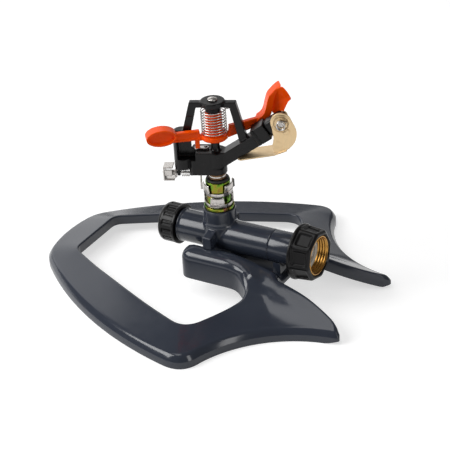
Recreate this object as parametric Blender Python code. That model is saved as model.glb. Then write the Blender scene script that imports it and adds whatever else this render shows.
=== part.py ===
"""Impulse sprinkler on a sled base, one object for each piece.

Metres, +Z up. The model hangs from a rig whose Z axis is the axis the head turns on.
Local frames are empties: the head, the barrel, the impact arm and the hose line.
"""

import math

import bmesh
import bpy
from mathutils import Matrix, Vector
from mathutils.geometry import delaunay_2d_cdt

# Clearance between pieces that touch, and between pieces that turn in each other
SEAT = 0.0003
RUN = 0.0004

# Sled base, plan sizes from the head axis
NOSE_REACH = 0.1470
NOSE_HALF_WIDTH = 0.0340
NOSE_BOW = 0.0055
SIDE_BOW = 0.0158
WING_REACH = 0.0370
WING_HALF_WIDTH = 0.1247
WAIST_BOW = 0.0207
TAIL_REACH = 0.1215
TAIL_SPREAD = 0.0455
TAIL_END_WIDTH = 0.0063
TAIL_END_SLANT = 0.0023
TAIL_BOW = 0.0034
NOTCH_REACH = 0.0580
NOTCH_HALF_WIDTH = 0.0215
OPENING_NOSE = 0.1170
OPENING_NOSE_HALF = 0.0275
OPENING_WING_REACH = 0.0195
OPENING_WING_HALF = 0.0910
OPENING_BOW = 0.0034
POCKET_REACH = 0.0450
POCKET_HALF = 0.0410
ARM_END = 0.0210
ARM_HALF = 0.0310

# Sled base, heights and wall
BASE_WALL = 0.0026
RIM_HEIGHT = 0.0040
CREASE_HEIGHT = 0.0105
CREASE_INSET = 0.0045
RING_HEIGHT = 0.0156
ARM_TOP = 0.0385
ARM_SHOULDER = 0.0082
ARM_DROP_START = 0.0200
TAIL_TIP_HEIGHT = 0.0110
TAIL_LIFT = 0.0025
TAIL_LIFT_LENGTH = 0.0120
TROUGH_FLOOR = 0.0240
TROUGH_HALF = 0.0190
TROUGH_SLOPE = 0.0075
RING_SKIRT = 0.0081
TAIL_SKIRT = 0.0112
SADDLE_LENGTH = 0.0060
SADDLE_HALF = 0.0090

# Hose line
PIPE_HEIGHT = 0.0417
PIPE_RADIUS = 0.0124
PIPE_BORE = 0.0096
PIPE_START = 0.0315
PIPE_SEAM = 0.0460
TEE_BORE = 0.0094
CAP_SPIGOT_RADIUS = 0.0114
CAP_SPIGOT_LENGTH = 0.0125
TEE_RADIUS = 0.0123
TEE_RISE = 0.0233
LUG_SPACING = 0.0192
LUG_LENGTH = 0.0070
LUG_WIDTH = 0.0060
LUG_RISE = 0.0068
LUG_WEB_LIFT = 0.0016
SCREW_RADIUS = 0.0017
SCREW_HEAD_RADIUS = 0.0034
SCREW_LENGTH = 0.0150
SCREW_SEAT = 0.0060

# Hose coupling
NUT_CLEARANCE = 0.0086
NUT_LENGTH = 0.0176
NUT_RADIUS = 0.0206
NUT_FLANGE_RADIUS = 0.0213
NUT_FLANGE = 0.0017
NUT_WEB = 0.0036
NUT_NECK_RADIUS = 0.0108
NUT_PADS = 8
NUT_PAD_DEPTH = 0.0012
INSERT_RADIUS = 0.0150
THREAD_MAJOR = 0.0137
THREAD_MINOR = 0.0129
THREAD_PITCH = 0.0022
SWIVEL_FLANGE_RADIUS = 0.0125
SWIVEL_FLANGE = 0.0020
WASHER_BORE = 0.0094
WASHER_THICKNESS = 0.0028
FILTER_THICKNESS = 0.0006
FILTER_RISE = 0.0030

# End cap
CAP_RADIUS = 0.0144
CAP_RIB_RADIUS = 0.0156
CAP_LENGTH = 0.0145
CAP_END_WALL = 0.0020
CAP_RIBS = 14
CAP_RIM = 0.0022

# Bearing
NIPPLE_RADIUS = 0.0093
NIPPLE_BORE = 0.0066
NIPPLE_DEPTH = 0.0120
NIPPLE_SPARE = 0.0018
NIPPLE_FLANGE_RADIUS = 0.0114
NIPPLE_FLANGE = 0.0026
TUBE_RADIUS = 0.0062
TUBE_BORE = 0.0046
TUBE_FLANGE_RADIUS = 0.0086
TUBE_FLANGE = 0.0022
SEAT_WASHER = 0.0010
SEAL_RADIUS = 0.0088
SEAL_HEIGHT = 0.0014
THRUST_RADIUS = 0.0067
THRUST_THICKNESS = 0.0010
THRUST_WASHERS = 3

# Trip collars
COLLAR_HEIGHT = 0.0088
COLLAR_SPACING = 0.0006
COLLAR_BAND = 0.0026
COLLAR_WALL = 0.0008
COLLAR_PAD_RADIUS = 0.0112
COLLAR_PADS = 3
COLLAR_PAD_ANGLE = 62.0
LOWER_COLLAR_AZIMUTH = -66.0
UPPER_COLLAR_AZIMUTH = -6.0
STOP_RADIUS = 0.0136
STOP_WIDTH = 0.0020
UPPER_STOP_AZIMUTH = 60.0
LOWER_STOP_AZIMUTH = 138.0

# Head body
HEAD_AZIMUTH = 23.0
BODY_RADIUS = 0.0083
BODY_GAP = 0.0062
BODY_HEIGHT = 0.0181
BODY_SOCKET = 0.0090
BLOCK_REACH = 0.0175
BLOCK_HALF = 0.0080
BLOCK_LIFT = 0.0014
BLOCK_LIP = 0.0007
COLUMN_REACH = 0.0245
COLUMN_RADIUS = 0.0068
COLUMN_LIFT = 0.0041
COLUMN_HEIGHT = 0.0305
POST_RADIUS = 0.0033
POST_RISE = 0.0080
BARREL_LIFT = 0.0102
BARREL_TILT = 33.0
BARREL_WIDTH = 0.0126
BARREL_DEPTH = 0.0132
BARREL_LENGTH = 0.0470
BARREL_BORE = 0.0042
NOZZLE_LENGTH = 0.0150
NOZZLE_MOUTH = 0.0022
NOZZLE_SOCKET = 0.0060
NOZZLE_SOCKET_RADIUS = 0.0052
BRIDGE_BAR = 0.0042
BRIDGE_HALF_DEPTH = 0.0027
BRIDGE_SHOULDER = 0.0172
BRIDGE_FOOT = 0.0250
LEG_WIDTH = 0.0060
DISC_RADIUS = 0.0091
DISC_RISE = 0.0010
DISC_THICKNESS = 0.0036
BOSS_RADIUS = 0.0058
BOSS_HEIGHT = 0.0086
PIN_RADIUS = 0.0019
PIN_HEAD_RADIUS = 0.0036
PIN_HEAD_RISE = 0.0013
PIN_DEPTH = 0.0075

# Impact arm, u is along the arm
ARM_AZIMUTH = 16.2
HUB_RADIUS = 0.0062
HUB_HEIGHT = 0.0176
HUB_GAP = 0.0017
HUB_PLAY = 0.0008
HUB_FLANGE_RADIUS = 0.0102
HUB_FLANGE = 0.0040
ARM_WEB_HALF = 0.0012
ARM_RIM_HALF = 0.0019
ARM_RIM = 0.0016
ARM_BAR_RISE = 0.0019
ARM_BAR_HEIGHT = 0.0053
WEIGHT_REACH = 0.0396
WEIGHT_RISE = 0.0028
WEIGHT_LENGTH = 0.0226
WEIGHT_TALL = 0.0128
WEIGHT_DEPTH = 0.0096
WEIGHT_RECESS = 0.0012
WEIGHT_RIM = 0.0016
TAB_REACH = 0.0132
TAB_SIZE = 0.0034
TAB_GAP = 0.0028
SPOON_WALL = 0.0018
SPOON_CURL = 0.0082

# Arm spring
SPRING_WIRE = 0.00042
SPRING_RADIUS = 0.0093
SPRING_TURNS = 9
SPRING_GAP = 0.0017
SPRING_HOOK = 0.0024
POINTS_PER_TURN = 10

# Deflector, measured from its pivot
PIVOT_SETBACK = 0.0023
EAR_RADIUS = 0.0079
SMALL_EAR_RADIUS = 0.0036
EAR_WALL = 0.0010
EAR_OFFSET = 0.0069
FLAP_HALF_WIDTH = 0.0077
FLAP_FRONT = 0.0035
FLAP_DROP = 0.0208
FLAP_BEND = 0.0060
FLAP_BEND_DROP = 0.0232
FLAP_BACK = 0.0318
FLAP_END_DROP = 0.0300
STUD_RADIUS = 0.0016
STUD_HEAD = 0.0026
DEFLECTOR_WIRE = 0.00035
DEFLECTOR_COIL = 0.0031
DEFLECTOR_TURNS = 3

# Trip mechanism, under the block
EYE_DROP = 0.0049
TRIP_WIRE = 0.0008
TRIP_WIRE_REACH = 0.0125
TRIP_WIRE_DROP = 0.0141
TRIP_REACH = 0.0400
LEVER_HALF = 0.0048
LEVER_HEIGHT = 0.0135
LEVER_LENGTH = 0.0085
LEVER_WALL = 0.0010
EYE_RADIUS = 0.0034
EYE_WIDTH = 0.0022
INNER_EYE = 0.0190
OUTER_EYE = 0.0285
TRIP_COIL = 0.0030
TRIP_COIL_WIRE = 0.00032
TRIP_TURNS = 4
DOG_REACH = 0.0070
DOG_LENGTH = 0.0085
DOG_THICKNESS = 0.0014
DOG_PIN_RADIUS = 0.0011

# Places that follow from these sizes, from the floor up and out along the pipe and the barrel
NUT_START = NOTCH_REACH + NUT_CLEARANCE
TEE_TOP = PIPE_HEIGHT + TEE_RISE
NIPPLE_BOTTOM = TEE_TOP - NIPPLE_DEPTH
COLLARS_BOTTOM = TEE_TOP + SEAT + NIPPLE_FLANGE + SEAT
NIPPLE_TOP = COLLARS_BOTTOM + 2 * COLLAR_HEIGHT + COLLAR_SPACING + NIPPLE_SPARE
BODY_BOTTOM = NIPPLE_TOP + BODY_GAP
BODY_TOP = BODY_BOTTOM + BODY_HEIGHT
BLOCK_BOTTOM = BODY_BOTTOM + BLOCK_LIFT
BLOCK_TOP = BODY_TOP + BLOCK_LIP
COLUMN_BOTTOM = BODY_BOTTOM + COLUMN_LIFT
COLUMN_TOP = COLUMN_BOTTOM + COLUMN_HEIGHT
TRIP_HEIGHT = COLUMN_BOTTOM - EYE_DROP
BARREL_HEIGHT = BODY_BOTTOM + BARREL_LIFT
PIVOT_ALONG = BARREL_LENGTH + SEAT + NOZZLE_LENGTH - PIVOT_SETBACK
POST_TOP = BODY_TOP + POST_RISE
HUB_FLANGE_TOP = POST_TOP + HUB_GAP + HUB_FLANGE
HUB_TOP = HUB_FLANGE_TOP + HUB_HEIGHT
BOSS_BOTTOM = HUB_TOP + HUB_PLAY
DISC_TOP = BOSS_BOTTOM + BOSS_HEIGHT
BRIDGE_TOP = DISC_TOP - DISC_RISE
SPRING_TOP = BRIDGE_TOP - BRIDGE_BAR - SPRING_GAP
WEIGHT_HEIGHT = HUB_FLANGE_TOP + WEIGHT_RISE
TAB_BOTTOM = BLOCK_TOP + TAB_GAP


# Scene and objects

def clear_scene():
    """Remove the objects of the scene the script is run in."""
    for item in list(bpy.data.objects):
        bpy.data.objects.remove(item, do_unlink=True)


def linear(hex_colour):
    """Turn an sRGB hex colour into the linear values that shaders take."""
    values = [int(hex_colour[i:i + 2], 16) / 255 for i in (1, 3, 5)]
    return [v / 12.92 if v <= 0.04045 else ((v + 0.055) / 1.055) ** 2.4 for v in values] + [1.0]


def material(name, hex_colour, roughness, metallic=0.0):
    """One Principled material for a piece."""
    made = bpy.data.materials.new(name)
    made.use_nodes = True
    shader = made.node_tree.nodes["Principled BSDF"]
    shader.inputs["Base Color"].default_value = linear(hex_colour)
    shader.inputs["Roughness"].default_value = roughness
    shader.inputs["Metallic"].default_value = metallic
    return made


def frame(name, parent=None, place=(0, 0, 0), turn=None):
    """An empty that carries the pieces of one local frame."""
    empty = bpy.data.objects.new(name, None)
    bpy.context.collection.objects.link(empty)
    empty.parent = parent
    empty.matrix_local = Matrix.Translation(place) @ (turn or Matrix())
    return empty


def place_mesh(name, bm, finish, parent, place=(0, 0, 0), turn=None, smooth=35.0):
    """Make an object from a bmesh, with outward normals and smooth round sides."""
    bmesh.ops.recalc_face_normals(bm, faces=bm.faces)
    mesh = bpy.data.meshes.new(name)
    bm.to_mesh(mesh)
    bm.free()
    mesh.shade_smooth()
    mesh.set_sharp_from_angle(angle=math.radians(smooth))
    if finish:
        mesh.materials.append(finish)
    made = bpy.data.objects.new(name, mesh)
    bpy.context.collection.objects.link(made)
    made.parent = parent
    made.matrix_local = Matrix.Translation(place) @ (turn or Matrix())
    return made


def bevel(target, width, segments=2, angle=40.0):
    """Round the edges of an object that are sharper than the angle."""
    rounding = target.modifiers.new("edge_rounding", "BEVEL")
    rounding.width = width
    rounding.segments = segments
    rounding.limit_method = "ANGLE"
    rounding.angle_limit = math.radians(angle)


def combine(target, operand, operation):
    """Add or cut an operand object, which stays behind as a hidden guide."""
    operand.hide_render = True
    operand.display_type = "WIRE"
    step = target.modifiers.new(operation.lower(), "BOOLEAN")
    step.operation = operation
    step.solver = "EXACT"
    step.object = operand


def add(target, *operands):
    for operand in operands:
        combine(target, operand, "UNION")


def cut(target, *operands):
    for operand in operands:
        combine(target, operand, "DIFFERENCE")


def weld(target):
    """Close the hairline doubles that a run of booleans leaves."""
    step = target.modifiers.new("weld", "WELD")
    step.merge_threshold = 0.00002


def absorb(bodies, extra, matrix=None):
    """Copy one bmesh into another as a separate body."""
    matrix = matrix or Matrix()
    copies = {v: bodies.verts.new(matrix @ v.co) for v in extra.verts}
    for face in extra.faces:
        bodies.faces.new([copies[v] for v in face.verts])
    extra.free()


# Shapes

def lathe(section, steps=28):
    """Turn a closed section of (radius, height) points about Z."""
    bm = bmesh.new()
    rings = []
    for radius, height in section:
        count = 1 if radius < 1e-7 else steps
        angles = [math.tau * i / steps for i in range(count)]
        rings.append([bm.verts.new((radius * math.cos(a), radius * math.sin(a), height))
                      for a in angles])
    for ring, following in zip(rings, rings[1:] + rings[:1]):
        if len(ring) == 1 and len(following) == 1:
            continue
        for i in range(steps):
            j = (i + 1) % steps
            corners = [ring[i % len(ring)], ring[j % len(ring)],
                       following[j % len(following)], following[i % len(following)]]
            bm.faces.new(list(dict.fromkeys(corners)))
    return bm


def rod(radius, low, high, steps=24):
    return lathe([(0, low), (radius, low), (radius, high), (0, high)], steps)


def ring(inner, outer, low, high, steps=28):
    return lathe([(inner, low), (outer, low), (outer, high), (inner, high)], steps)


def prism(outline, low, high):
    """Extrude a plan outline from one height to another."""
    bm = bmesh.new()
    bottom = [bm.verts.new((x, y, low)) for x, y in outline]
    top = [bm.verts.new((x, y, high)) for x, y in outline]
    bm.faces.new(bottom)
    bm.faces.new(top)
    count = len(outline)
    for i in range(count):
        j = (i + 1) % count
        bm.faces.new((bottom[i], bottom[j], top[j], top[i]))
    return bm


def side_prism(outline, near, far):
    """Extrude a side outline of (along, height) points across the Y direction."""
    bm = prism(outline, near, far)
    for vert in bm.verts:
        x, z, y = vert.co
        vert.co = (x, y, z)
    return bm


def box(size, centre=(0, 0, 0)):
    bm = bmesh.new()
    bmesh.ops.create_cube(bm, size=1.0)
    bmesh.ops.scale(bm, vec=size, verts=bm.verts)
    bmesh.ops.translate(bm, vec=centre, verts=bm.verts)
    return bm


def arc(start, end, bow, count):
    """Points of a circular arc from start to end, with its middle bowed to the left."""
    start, end = Vector(start), Vector(end)
    chord = end - start
    left = Vector((-chord.y, chord.x)).normalized()
    half = 2 * math.atan2(2 * bow, chord.length)
    points = []
    for i in range(count + 1):
        t = i / count
        if abs(half) < 1e-6:
            points.append(start + chord * t)
            continue
        radius = chord.length / (2 * math.sin(half))
        angle = half * (2 * t - 1)
        along = radius * math.sin(angle) + chord.length / 2
        rise = radius * (math.cos(angle) - math.cos(half))
        points.append(start + chord.normalized() * along + left * rise)
    return points


def round_path(runs, trims, count=4):
    """Join runs of points end to end and round each corner over its trim length."""
    path = []
    for k, run in enumerate(runs):
        before = trims[k - 1] if k else 0
        after = trims[k] if k < len(runs) - 1 else 0
        kept = trim_run(run, before, after)
        if k:
            corner, last, first = run[0], path[-1], kept[0]
            for i in range(1, count):
                t = i / count
                path.append(last * (1 - t) ** 2 + corner * 2 * t * (1 - t) + first * t * t)
        path.extend(kept)
    return path


def trim_run(run, before, after):
    """Shorten a run of points by a length at each end."""
    lengths = [0.0]
    for a, b in zip(run, run[1:]):
        lengths.append(lengths[-1] + (b - a).length)
    low, high = before, lengths[-1] - after
    inner = [p for p, s in zip(run, lengths) if low + 0.001 < s < high - 0.001]
    return [point_at(run, lengths, low)] + inner + [point_at(run, lengths, high)]


def point_at(run, lengths, where):
    for k in range(1, len(run)):
        if where <= lengths[k] + 1e-9:
            t = (where - lengths[k - 1]) / (lengths[k] - lengths[k - 1])
            return run[k - 1].lerp(run[k], t)
    return run[-1].copy()


def smoothstep(low, high, value):
    t = min(1.0, max(0.0, (value - low) / (high - low)))
    return t * t * (3 - 2 * t)


def wire(name, points, radius, finish, parent, place=(0, 0, 0), turn=None):
    """A wound or bent wire as a bevelled curve with filled ends."""
    curve = bpy.data.curves.new(name, "CURVE")
    curve.dimensions = "3D"
    curve.bevel_depth = radius
    curve.bevel_resolution = 1
    curve.use_fill_caps = True
    spline = curve.splines.new("POLY")
    spline.points.add(len(points) - 1)
    for target, point in zip(spline.points, points):
        target.co = (*point, 1.0)
    curve.materials.append(finish)
    made = bpy.data.objects.new(name, curve)
    bpy.context.collection.objects.link(made)
    made.parent = parent
    made.matrix_local = Matrix.Translation(place) @ (turn or Matrix())
    return made


def least_gap(points, radius):
    """Least clear space between turns of one wire, measured between its runs."""
    least = 1.0
    near = 4 * radius
    lengths = [0.0]
    for a, b in zip(points, points[1:]):
        lengths.append(lengths[-1] + (Vector(b) - Vector(a)).length)
    dense = []
    for a, b, s, e in zip(points, points[1:], lengths, lengths[1:]):
        dense += [(Vector(a).lerp(Vector(b), k / 3), s + (e - s) * k / 3) for k in range(3)]
    for i, (p, s) in enumerate(dense):
        for q, e in dense[i + 1:]:
            if e - s > 2 * near:
                least = min(least, (p - q).length - 2 * radius)
    return least


# Sled base

def outer_half():
    """Outline on the floor from the nose to the middle of the rear notch."""
    nose = (-NOSE_REACH, 0)
    nose_corner = (-NOSE_REACH + NOSE_BOW, NOSE_HALF_WIDTH)
    wing = (WING_REACH, WING_HALF_WIDTH)
    tail = (TAIL_REACH, TAIL_SPREAD)
    tail_end = (TAIL_REACH - TAIL_END_SLANT, TAIL_SPREAD - TAIL_END_WIDTH)
    notch = (NOTCH_REACH, NOTCH_HALF_WIDTH)
    runs = [arc(nose, nose_corner, NOSE_BOW / 4, 2), arc(nose_corner, wing, SIDE_BOW, 10),
            arc(wing, tail, -WAIST_BOW, 9), arc(tail, tail_end, 0, 2),
            arc(tail_end, notch, TAIL_BOW, 5), arc(notch, (NOTCH_REACH, 0), 0, 2)]
    trims = [0.009, 0.018, TAIL_END_WIDTH / 2, TAIL_END_WIDTH / 2, 0.005]
    return round_path(runs, trims)


def inner_half():
    """Outline of the opening from the nose, round the wing, to the end of the arms."""
    nose_corner = (-OPENING_NOSE, OPENING_NOSE_HALF)
    wing = (OPENING_WING_REACH, OPENING_WING_HALF)
    pocket = (POCKET_REACH, POCKET_HALF)
    root = (POCKET_REACH - 0.015, ARM_HALF)
    end = (-ARM_END, ARM_HALF)
    runs = [arc((-OPENING_NOSE, 0), nose_corner, 0, 2), arc(nose_corner, wing, OPENING_BOW, 8),
            arc(wing, pocket, 0, 4), arc(pocket, root, 0, 2), arc(root, end, 0, 4),
            arc(end, (-ARM_END, 0), 0, 2)]
    return round_path(runs, [0.006, 0.014, 0.009, 0.005, 0.010])


def closed_loop(half):
    """Mirror a half outline, whose ends lie on the centre line, into a full loop."""
    mirrored = [Vector((p.x, -p.y)) for p in reversed(half[1:-1])]
    return half + mirrored


def segment_distance(p, a, b):
    span = b - a
    t = max(0.0, min(1.0, (p - a).dot(span) / span.length_squared))
    return (p - (a + span * t)).length


def loop_distance(p, loop):
    return min(segment_distance(p, a, b) for a, b in zip(loop, loop[1:] + loop[:1]))


def path_distance(p, path):
    return min(segment_distance(p, a, b) for a, b in zip(path, path[1:]))


def inside(p, loop):
    """Whether a plan point lies inside a closed loop."""
    hit = False
    for a, b in zip(loop, loop[1:] + loop[:1]):
        if (a.y > p.y) != (b.y > p.y):
            if p.x < a.x + (p.y - a.y) * (b.x - a.x) / (b.y - a.y):
                hit = not hit
    return hit


def inset_loop(loop, depth, side):
    """Offset a loop into the material; points that would cross are left out."""
    count = len(loop)
    kept = []
    for i in range(count):
        along = (loop[(i + 1) % count] - loop[i - 1]).normalized()
        normal = Vector((-along.y, along.x)) * side
        a = (loop[i] - loop[i - 1]).normalized()
        stretch = 1 / max(0.6, abs(a.dot(along)))
        point = loop[i] + normal * depth * stretch
        if loop_distance(point, loop) > depth * 0.93:
            kept.append(point)
    return kept


class SledSurface:
    """Heights of the sled's upper face and skirts over its plan."""

    def __init__(self, outer, inner):
        half = [p for p in outer if p.y >= -1e-9]
        tip = max(range(len(half)), key=lambda i: half[i].x)
        self.rim = mirrored_paths(half[:tip + 1])
        self.tails = mirrored_paths(half[tip:])
        self.inner = inner

    def rim_distance(self, p):
        return min(path_distance(p, path) for path in self.rim)

    def edge_distance(self, p):
        tails = min(path_distance(p, path) for path in self.tails)
        return min(tails, loop_distance(p, self.inner))

    def ridge(self, p):
        """Height that the raised inner edge has near a plan point."""
        across = abs(p.y)
        t = max(0.0, (p.x - ARM_DROP_START) / (TAIL_REACH - ARM_DROP_START))
        crown = ARM_TOP - (ARM_TOP - TAIL_TIP_HEIGHT) * min(1.0, t) ** 1.2
        flat = ARM_HALF + (TAIL_SPREAD - ARM_HALF) * smoothstep(0.060, 0.115, p.x)
        fall = 0.007 + 0.009 * smoothstep(0.045, 0.080, p.x)
        decay = math.exp(-max(0.0, across - flat) / fall)
        reach = smoothstep(-0.090, -0.030, p.x)
        return RING_HEIGHT + (crown - RING_HEIGHT) * decay * reach

    def top(self, p):
        """Height of the upper face."""
        out, edge = self.rim_distance(p), self.edge_distance(p)
        ridge = self.ridge(p)
        if out < CREASE_INSET:
            share = math.sin(math.pi / 2 * out / CREASE_INSET)
            height = RIM_HEIGHT + (CREASE_HEIGHT - RIM_HEIGHT) * share
        else:
            share = (out - CREASE_INSET) / (out - CREASE_INSET + edge)
            height = CREASE_HEIGHT + (ridge - CREASE_HEIGHT) * share
        height = self.sink_trough(p, height)
        return height - self.rounding(ridge, edge) * smoothstep(0, CREASE_INSET, out)

    def sink_trough(self, p, height):
        """Lower the face between the arms, where the pipe lies."""
        share = 1 - smoothstep(TROUGH_HALF - TROUGH_SLOPE, TROUGH_HALF, abs(p.y))
        if p.x < -ARM_END - 0.001 or p.x > NOTCH_REACH + 0.001:
            return height
        return height - (height - TROUGH_FLOOR) * share

    def rounding(self, ridge, edge):
        """Drop of the face near the inner edge, wider on the high arms."""
        radius = 0.0015 + (ARM_SHOULDER - 0.0015) * smoothstep(0.020, 0.037, ridge)
        if edge >= radius:
            return 0.0
        return radius * (1 - math.sqrt(1 - (1 - edge / radius) ** 2))

    def foot(self, p):
        """Height of the lower edge of the skirt nearest to a plan point."""
        if self.rim_distance(p) <= self.edge_distance(p):
            return TAIL_LIFT * smoothstep(TAIL_REACH - TAIL_LIFT_LENGTH, TAIL_REACH, p.x)
        ridge = self.ridge(p)
        deep = RING_SKIRT + 0.65 * max(0.0, ridge - RING_HEIGHT)
        share = smoothstep(0.040, 0.070, p.x)
        return max(0.0, ridge - deep * (1 - share) - TAIL_SKIRT * share)


def mirrored_paths(path):
    return [path, [Vector((p.x, -p.y)) for p in path]]


def plan_points(outer, inner):
    """Loose points that carry the curved face between the loops."""
    points = []
    step = 0.0130
    rows = int(2 * WING_HALF_WIDTH / (step * 0.87)) + 2
    for row in range(rows):
        y = -WING_HALF_WIDTH + row * step * 0.87
        for column in range(int((NOSE_REACH + TAIL_REACH) / step) + 2):
            x = -NOSE_REACH + (column + 0.5 * (row % 2)) * step
            points.append(Vector((x, y)))
    across = 0.0041
    tongue = [Vector((-ARM_END + 0.006 + 0.0115 * i, across * j))
              for i in range(7) for j in range(-6, 7)]
    low, high = -ARM_END, NOTCH_REACH
    points = [p for p in points if not (low < p.x < high and abs(p.y) < ARM_HALF)] + tongue
    return [p for p in points if inside(p, outer) and not inside(p, inner)
            and min(loop_distance(p, outer), loop_distance(p, inner)) > 0.0058]


def sled_mesh(outer, inner):
    """Closed shell of the sled from one triangulated plan, used above and below."""
    surface = SledSurface(outer, inner)
    loops = [outer, inset_loop(outer, BASE_WALL, -1), inset_loop(outer, CREASE_INSET, -1),
             inner, inset_loop(inner, BASE_WALL / 2, 1), inset_loop(inner, BASE_WALL, 1)]
    points, edges = [], []
    for loop in loops:
        first = len(points)
        points.extend(loop)
        count = len(loop)
        for i in range(count):
            if (loop[i] - loop[(i + 1) % count]).length < 0.030:
                edges.append((first + i, first + (i + 1) % count))
    points += plan_points(outer, inner)
    verts, _, faces, *_ = delaunay_2d_cdt(points, edges, [], 0, 1e-6)
    bm = bmesh.new()
    top, under, foot = {}, {}, {}

    def corner(store, i, height):
        if i not in store:
            store[i] = bm.verts.new((verts[i].x, verts[i].y, height(verts[i])))
        return store[i]

    def ceiling(p):
        return surface.top(p) - BASE_WALL

    kinds = {}
    for face in faces:
        middle = sum((verts[i] for i in face), Vector((0, 0))) / 3
        if not inside(middle, outer) or inside(middle, inner):
            continue
        clear = min(loop_distance(middle, outer), loop_distance(middle, inner))
        hollow = clear > BASE_WALL * 0.93 and all(
            min(loop_distance(verts[i], outer), loop_distance(verts[i], inner)) > BASE_WALL * 0.9
            for i in face)
        bm.faces.new([corner(top, i, surface.top) for i in face])
        store, height = (under, ceiling) if hollow else (foot, surface.foot)
        bm.faces.new([corner(store, i, height) for i in reversed(face)])
        for a, b in zip(face, face[1:] + face[:1]):
            kinds.setdefault(tuple(sorted((a, b))), []).append(hollow)
    for (a, b), found in kinds.items():
        if len(found) == 1:
            bm.faces.new((top[a], top[b], foot[b], foot[a]))
        elif found[0] != found[1]:
            bm.faces.new((under[a], under[b], foot[b], foot[a]))
    return bm, surface


def make_sled(rig, grey):
    """The base shell, its saddle under the pipe and the two screw bosses."""
    outer, inner = closed_loop(outer_half()), closed_loop(inner_half())
    bm, surface = sled_mesh(outer, inner)
    sled = place_mesh("sled_base", bm, grey, rig, smooth=40)
    x = NOTCH_REACH - SADDLE_LENGTH
    saddle_top = PIPE_HEIGHT - PIPE_RADIUS * 0.6
    low = TROUGH_FLOOR - BASE_WALL / 2
    size = (SADDLE_LENGTH, 2 * SADDLE_HALF, saddle_top - low)
    saddle = place_mesh("saddle_block", box(size, (x, 0, (saddle_top + low) / 2)), None, rig)
    nest = rod(PIPE_RADIUS + SEAT, -0.02, 0.02)
    nest = place_mesh("saddle_nest", nest, None, rig, (x, 0, PIPE_HEIGHT), along_x())
    cut(saddle, nest)
    add(sled, saddle)
    deck = lug_seat(surface)
    seat = deck - SCREW_SEAT
    bosses, wells = bmesh.new(), bmesh.new()
    for side in (-1, 1):
        beside = Matrix.Translation((0, side * LUG_SPACING, 0))
        absorb(bosses, rod(SCREW_HEAD_RADIUS + 0.0014, deck - 0.016, deck, 18), beside)
        well = lathe([(0, deck - 0.03), (SCREW_HEAD_RADIUS + RUN, deck - 0.03),
                      (SCREW_HEAD_RADIUS + RUN, seat), (SCREW_RADIUS + SEAT, seat),
                      (SCREW_RADIUS + SEAT, deck + 0.01), (0, deck + 0.01)], 14)
        absorb(wells, well, beside)
    add(sled, place_mesh("screw_bosses", bosses, None, rig))
    cut(sled, place_mesh("screw_wells", wells, None, rig))
    weld(sled)
    return surface


def lug_seat(surface):
    """Height of the flat pads that the lugs stand on."""
    return surface.top(Vector((0, LUG_SPACING + LUG_WIDTH / 2))) + 0.0002


def along_x():
    """Turn that lays a piece made along Z down along +X."""
    return Matrix.Rotation(math.radians(90), 4, "Y")


def along_y():
    """Turn that lays a piece made along Z down along -Y."""
    return Matrix.Rotation(math.radians(90), 4, "X")


# Hose line

def make_manifold(rig, line, grey, surface):
    """Pipe, tee and lugs as one moulding, bored through."""
    end = -PIPE_START - CAP_SPIGOT_LENGTH
    pipe = lathe([(0, end), (CAP_SPIGOT_RADIUS, end), (CAP_SPIGOT_RADIUS, -PIPE_START - 0.0018),
                  (PIPE_RADIUS + 0.0007, -PIPE_START - 0.0018), (PIPE_RADIUS + 0.0007, -PIPE_START),
                  (PIPE_RADIUS, -PIPE_START), (PIPE_RADIUS, PIPE_SEAM - 0.0005),
                  (PIPE_RADIUS - 0.0004, PIPE_SEAM), (0, PIPE_SEAM)])
    pipe = place_mesh("manifold", pipe, grey, line)
    tee = rod(TEE_RADIUS, PIPE_HEIGHT, TEE_TOP, 28)
    tee = place_mesh("tee", tee, None, rig)
    bevel(tee, 0.0006)
    add(pipe, tee)
    deck = lug_seat(surface) + SEAT
    lugs, pilots = bmesh.new(), bmesh.new()
    for side in (-1, 1):
        inward = side * (LUG_SPACING - LUG_WIDTH / 2)
        outward = side * (LUG_SPACING + LUG_WIDTH / 2)
        neck = side * PIPE_RADIUS * 0.6
        top = PIPE_HEIGHT + PIPE_RADIUS * 0.78
        outline = [(inward, deck), (outward, deck), (outward, PIPE_HEIGHT + LUG_RISE),
                   (side * PIPE_RADIUS * 0.86, top), (neck, top), (neck, deck + LUG_WEB_LIFT),
                   (inward, deck + LUG_WEB_LIFT)]
        lug = prism(outline, -LUG_LENGTH / 2, LUG_LENGTH / 2)
        for vert in lug.verts:
            vert.co = (vert.co.z, vert.co.x, vert.co.y)
        absorb(lugs, lug)
        top = deck + SCREW_LENGTH - SCREW_SEAT + SEAT
        absorb(pilots, rod(SCREW_RADIUS + SEAT, deck - 0.004, top, 14),
               Matrix.Translation((0, side * LUG_SPACING, 0)))
    lugs = place_mesh("lugs", lugs, None, rig)
    bevel(lugs, 0.0005, 1)
    add(pipe, lugs)
    bore = rod(PIPE_BORE, end - 0.01, PIPE_SEAM + 0.01, 24)
    cut(pipe, place_mesh("pipe_bore", bore, None, line))
    riser = rod(TEE_BORE, PIPE_HEIGHT, TEE_TOP + 0.01, 24)
    cut(pipe, place_mesh("riser_bore", riser, None, rig))
    cut(pipe, place_mesh("screw_pilots", pilots, None, rig))
    weld(pipe)
    return deck


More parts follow.
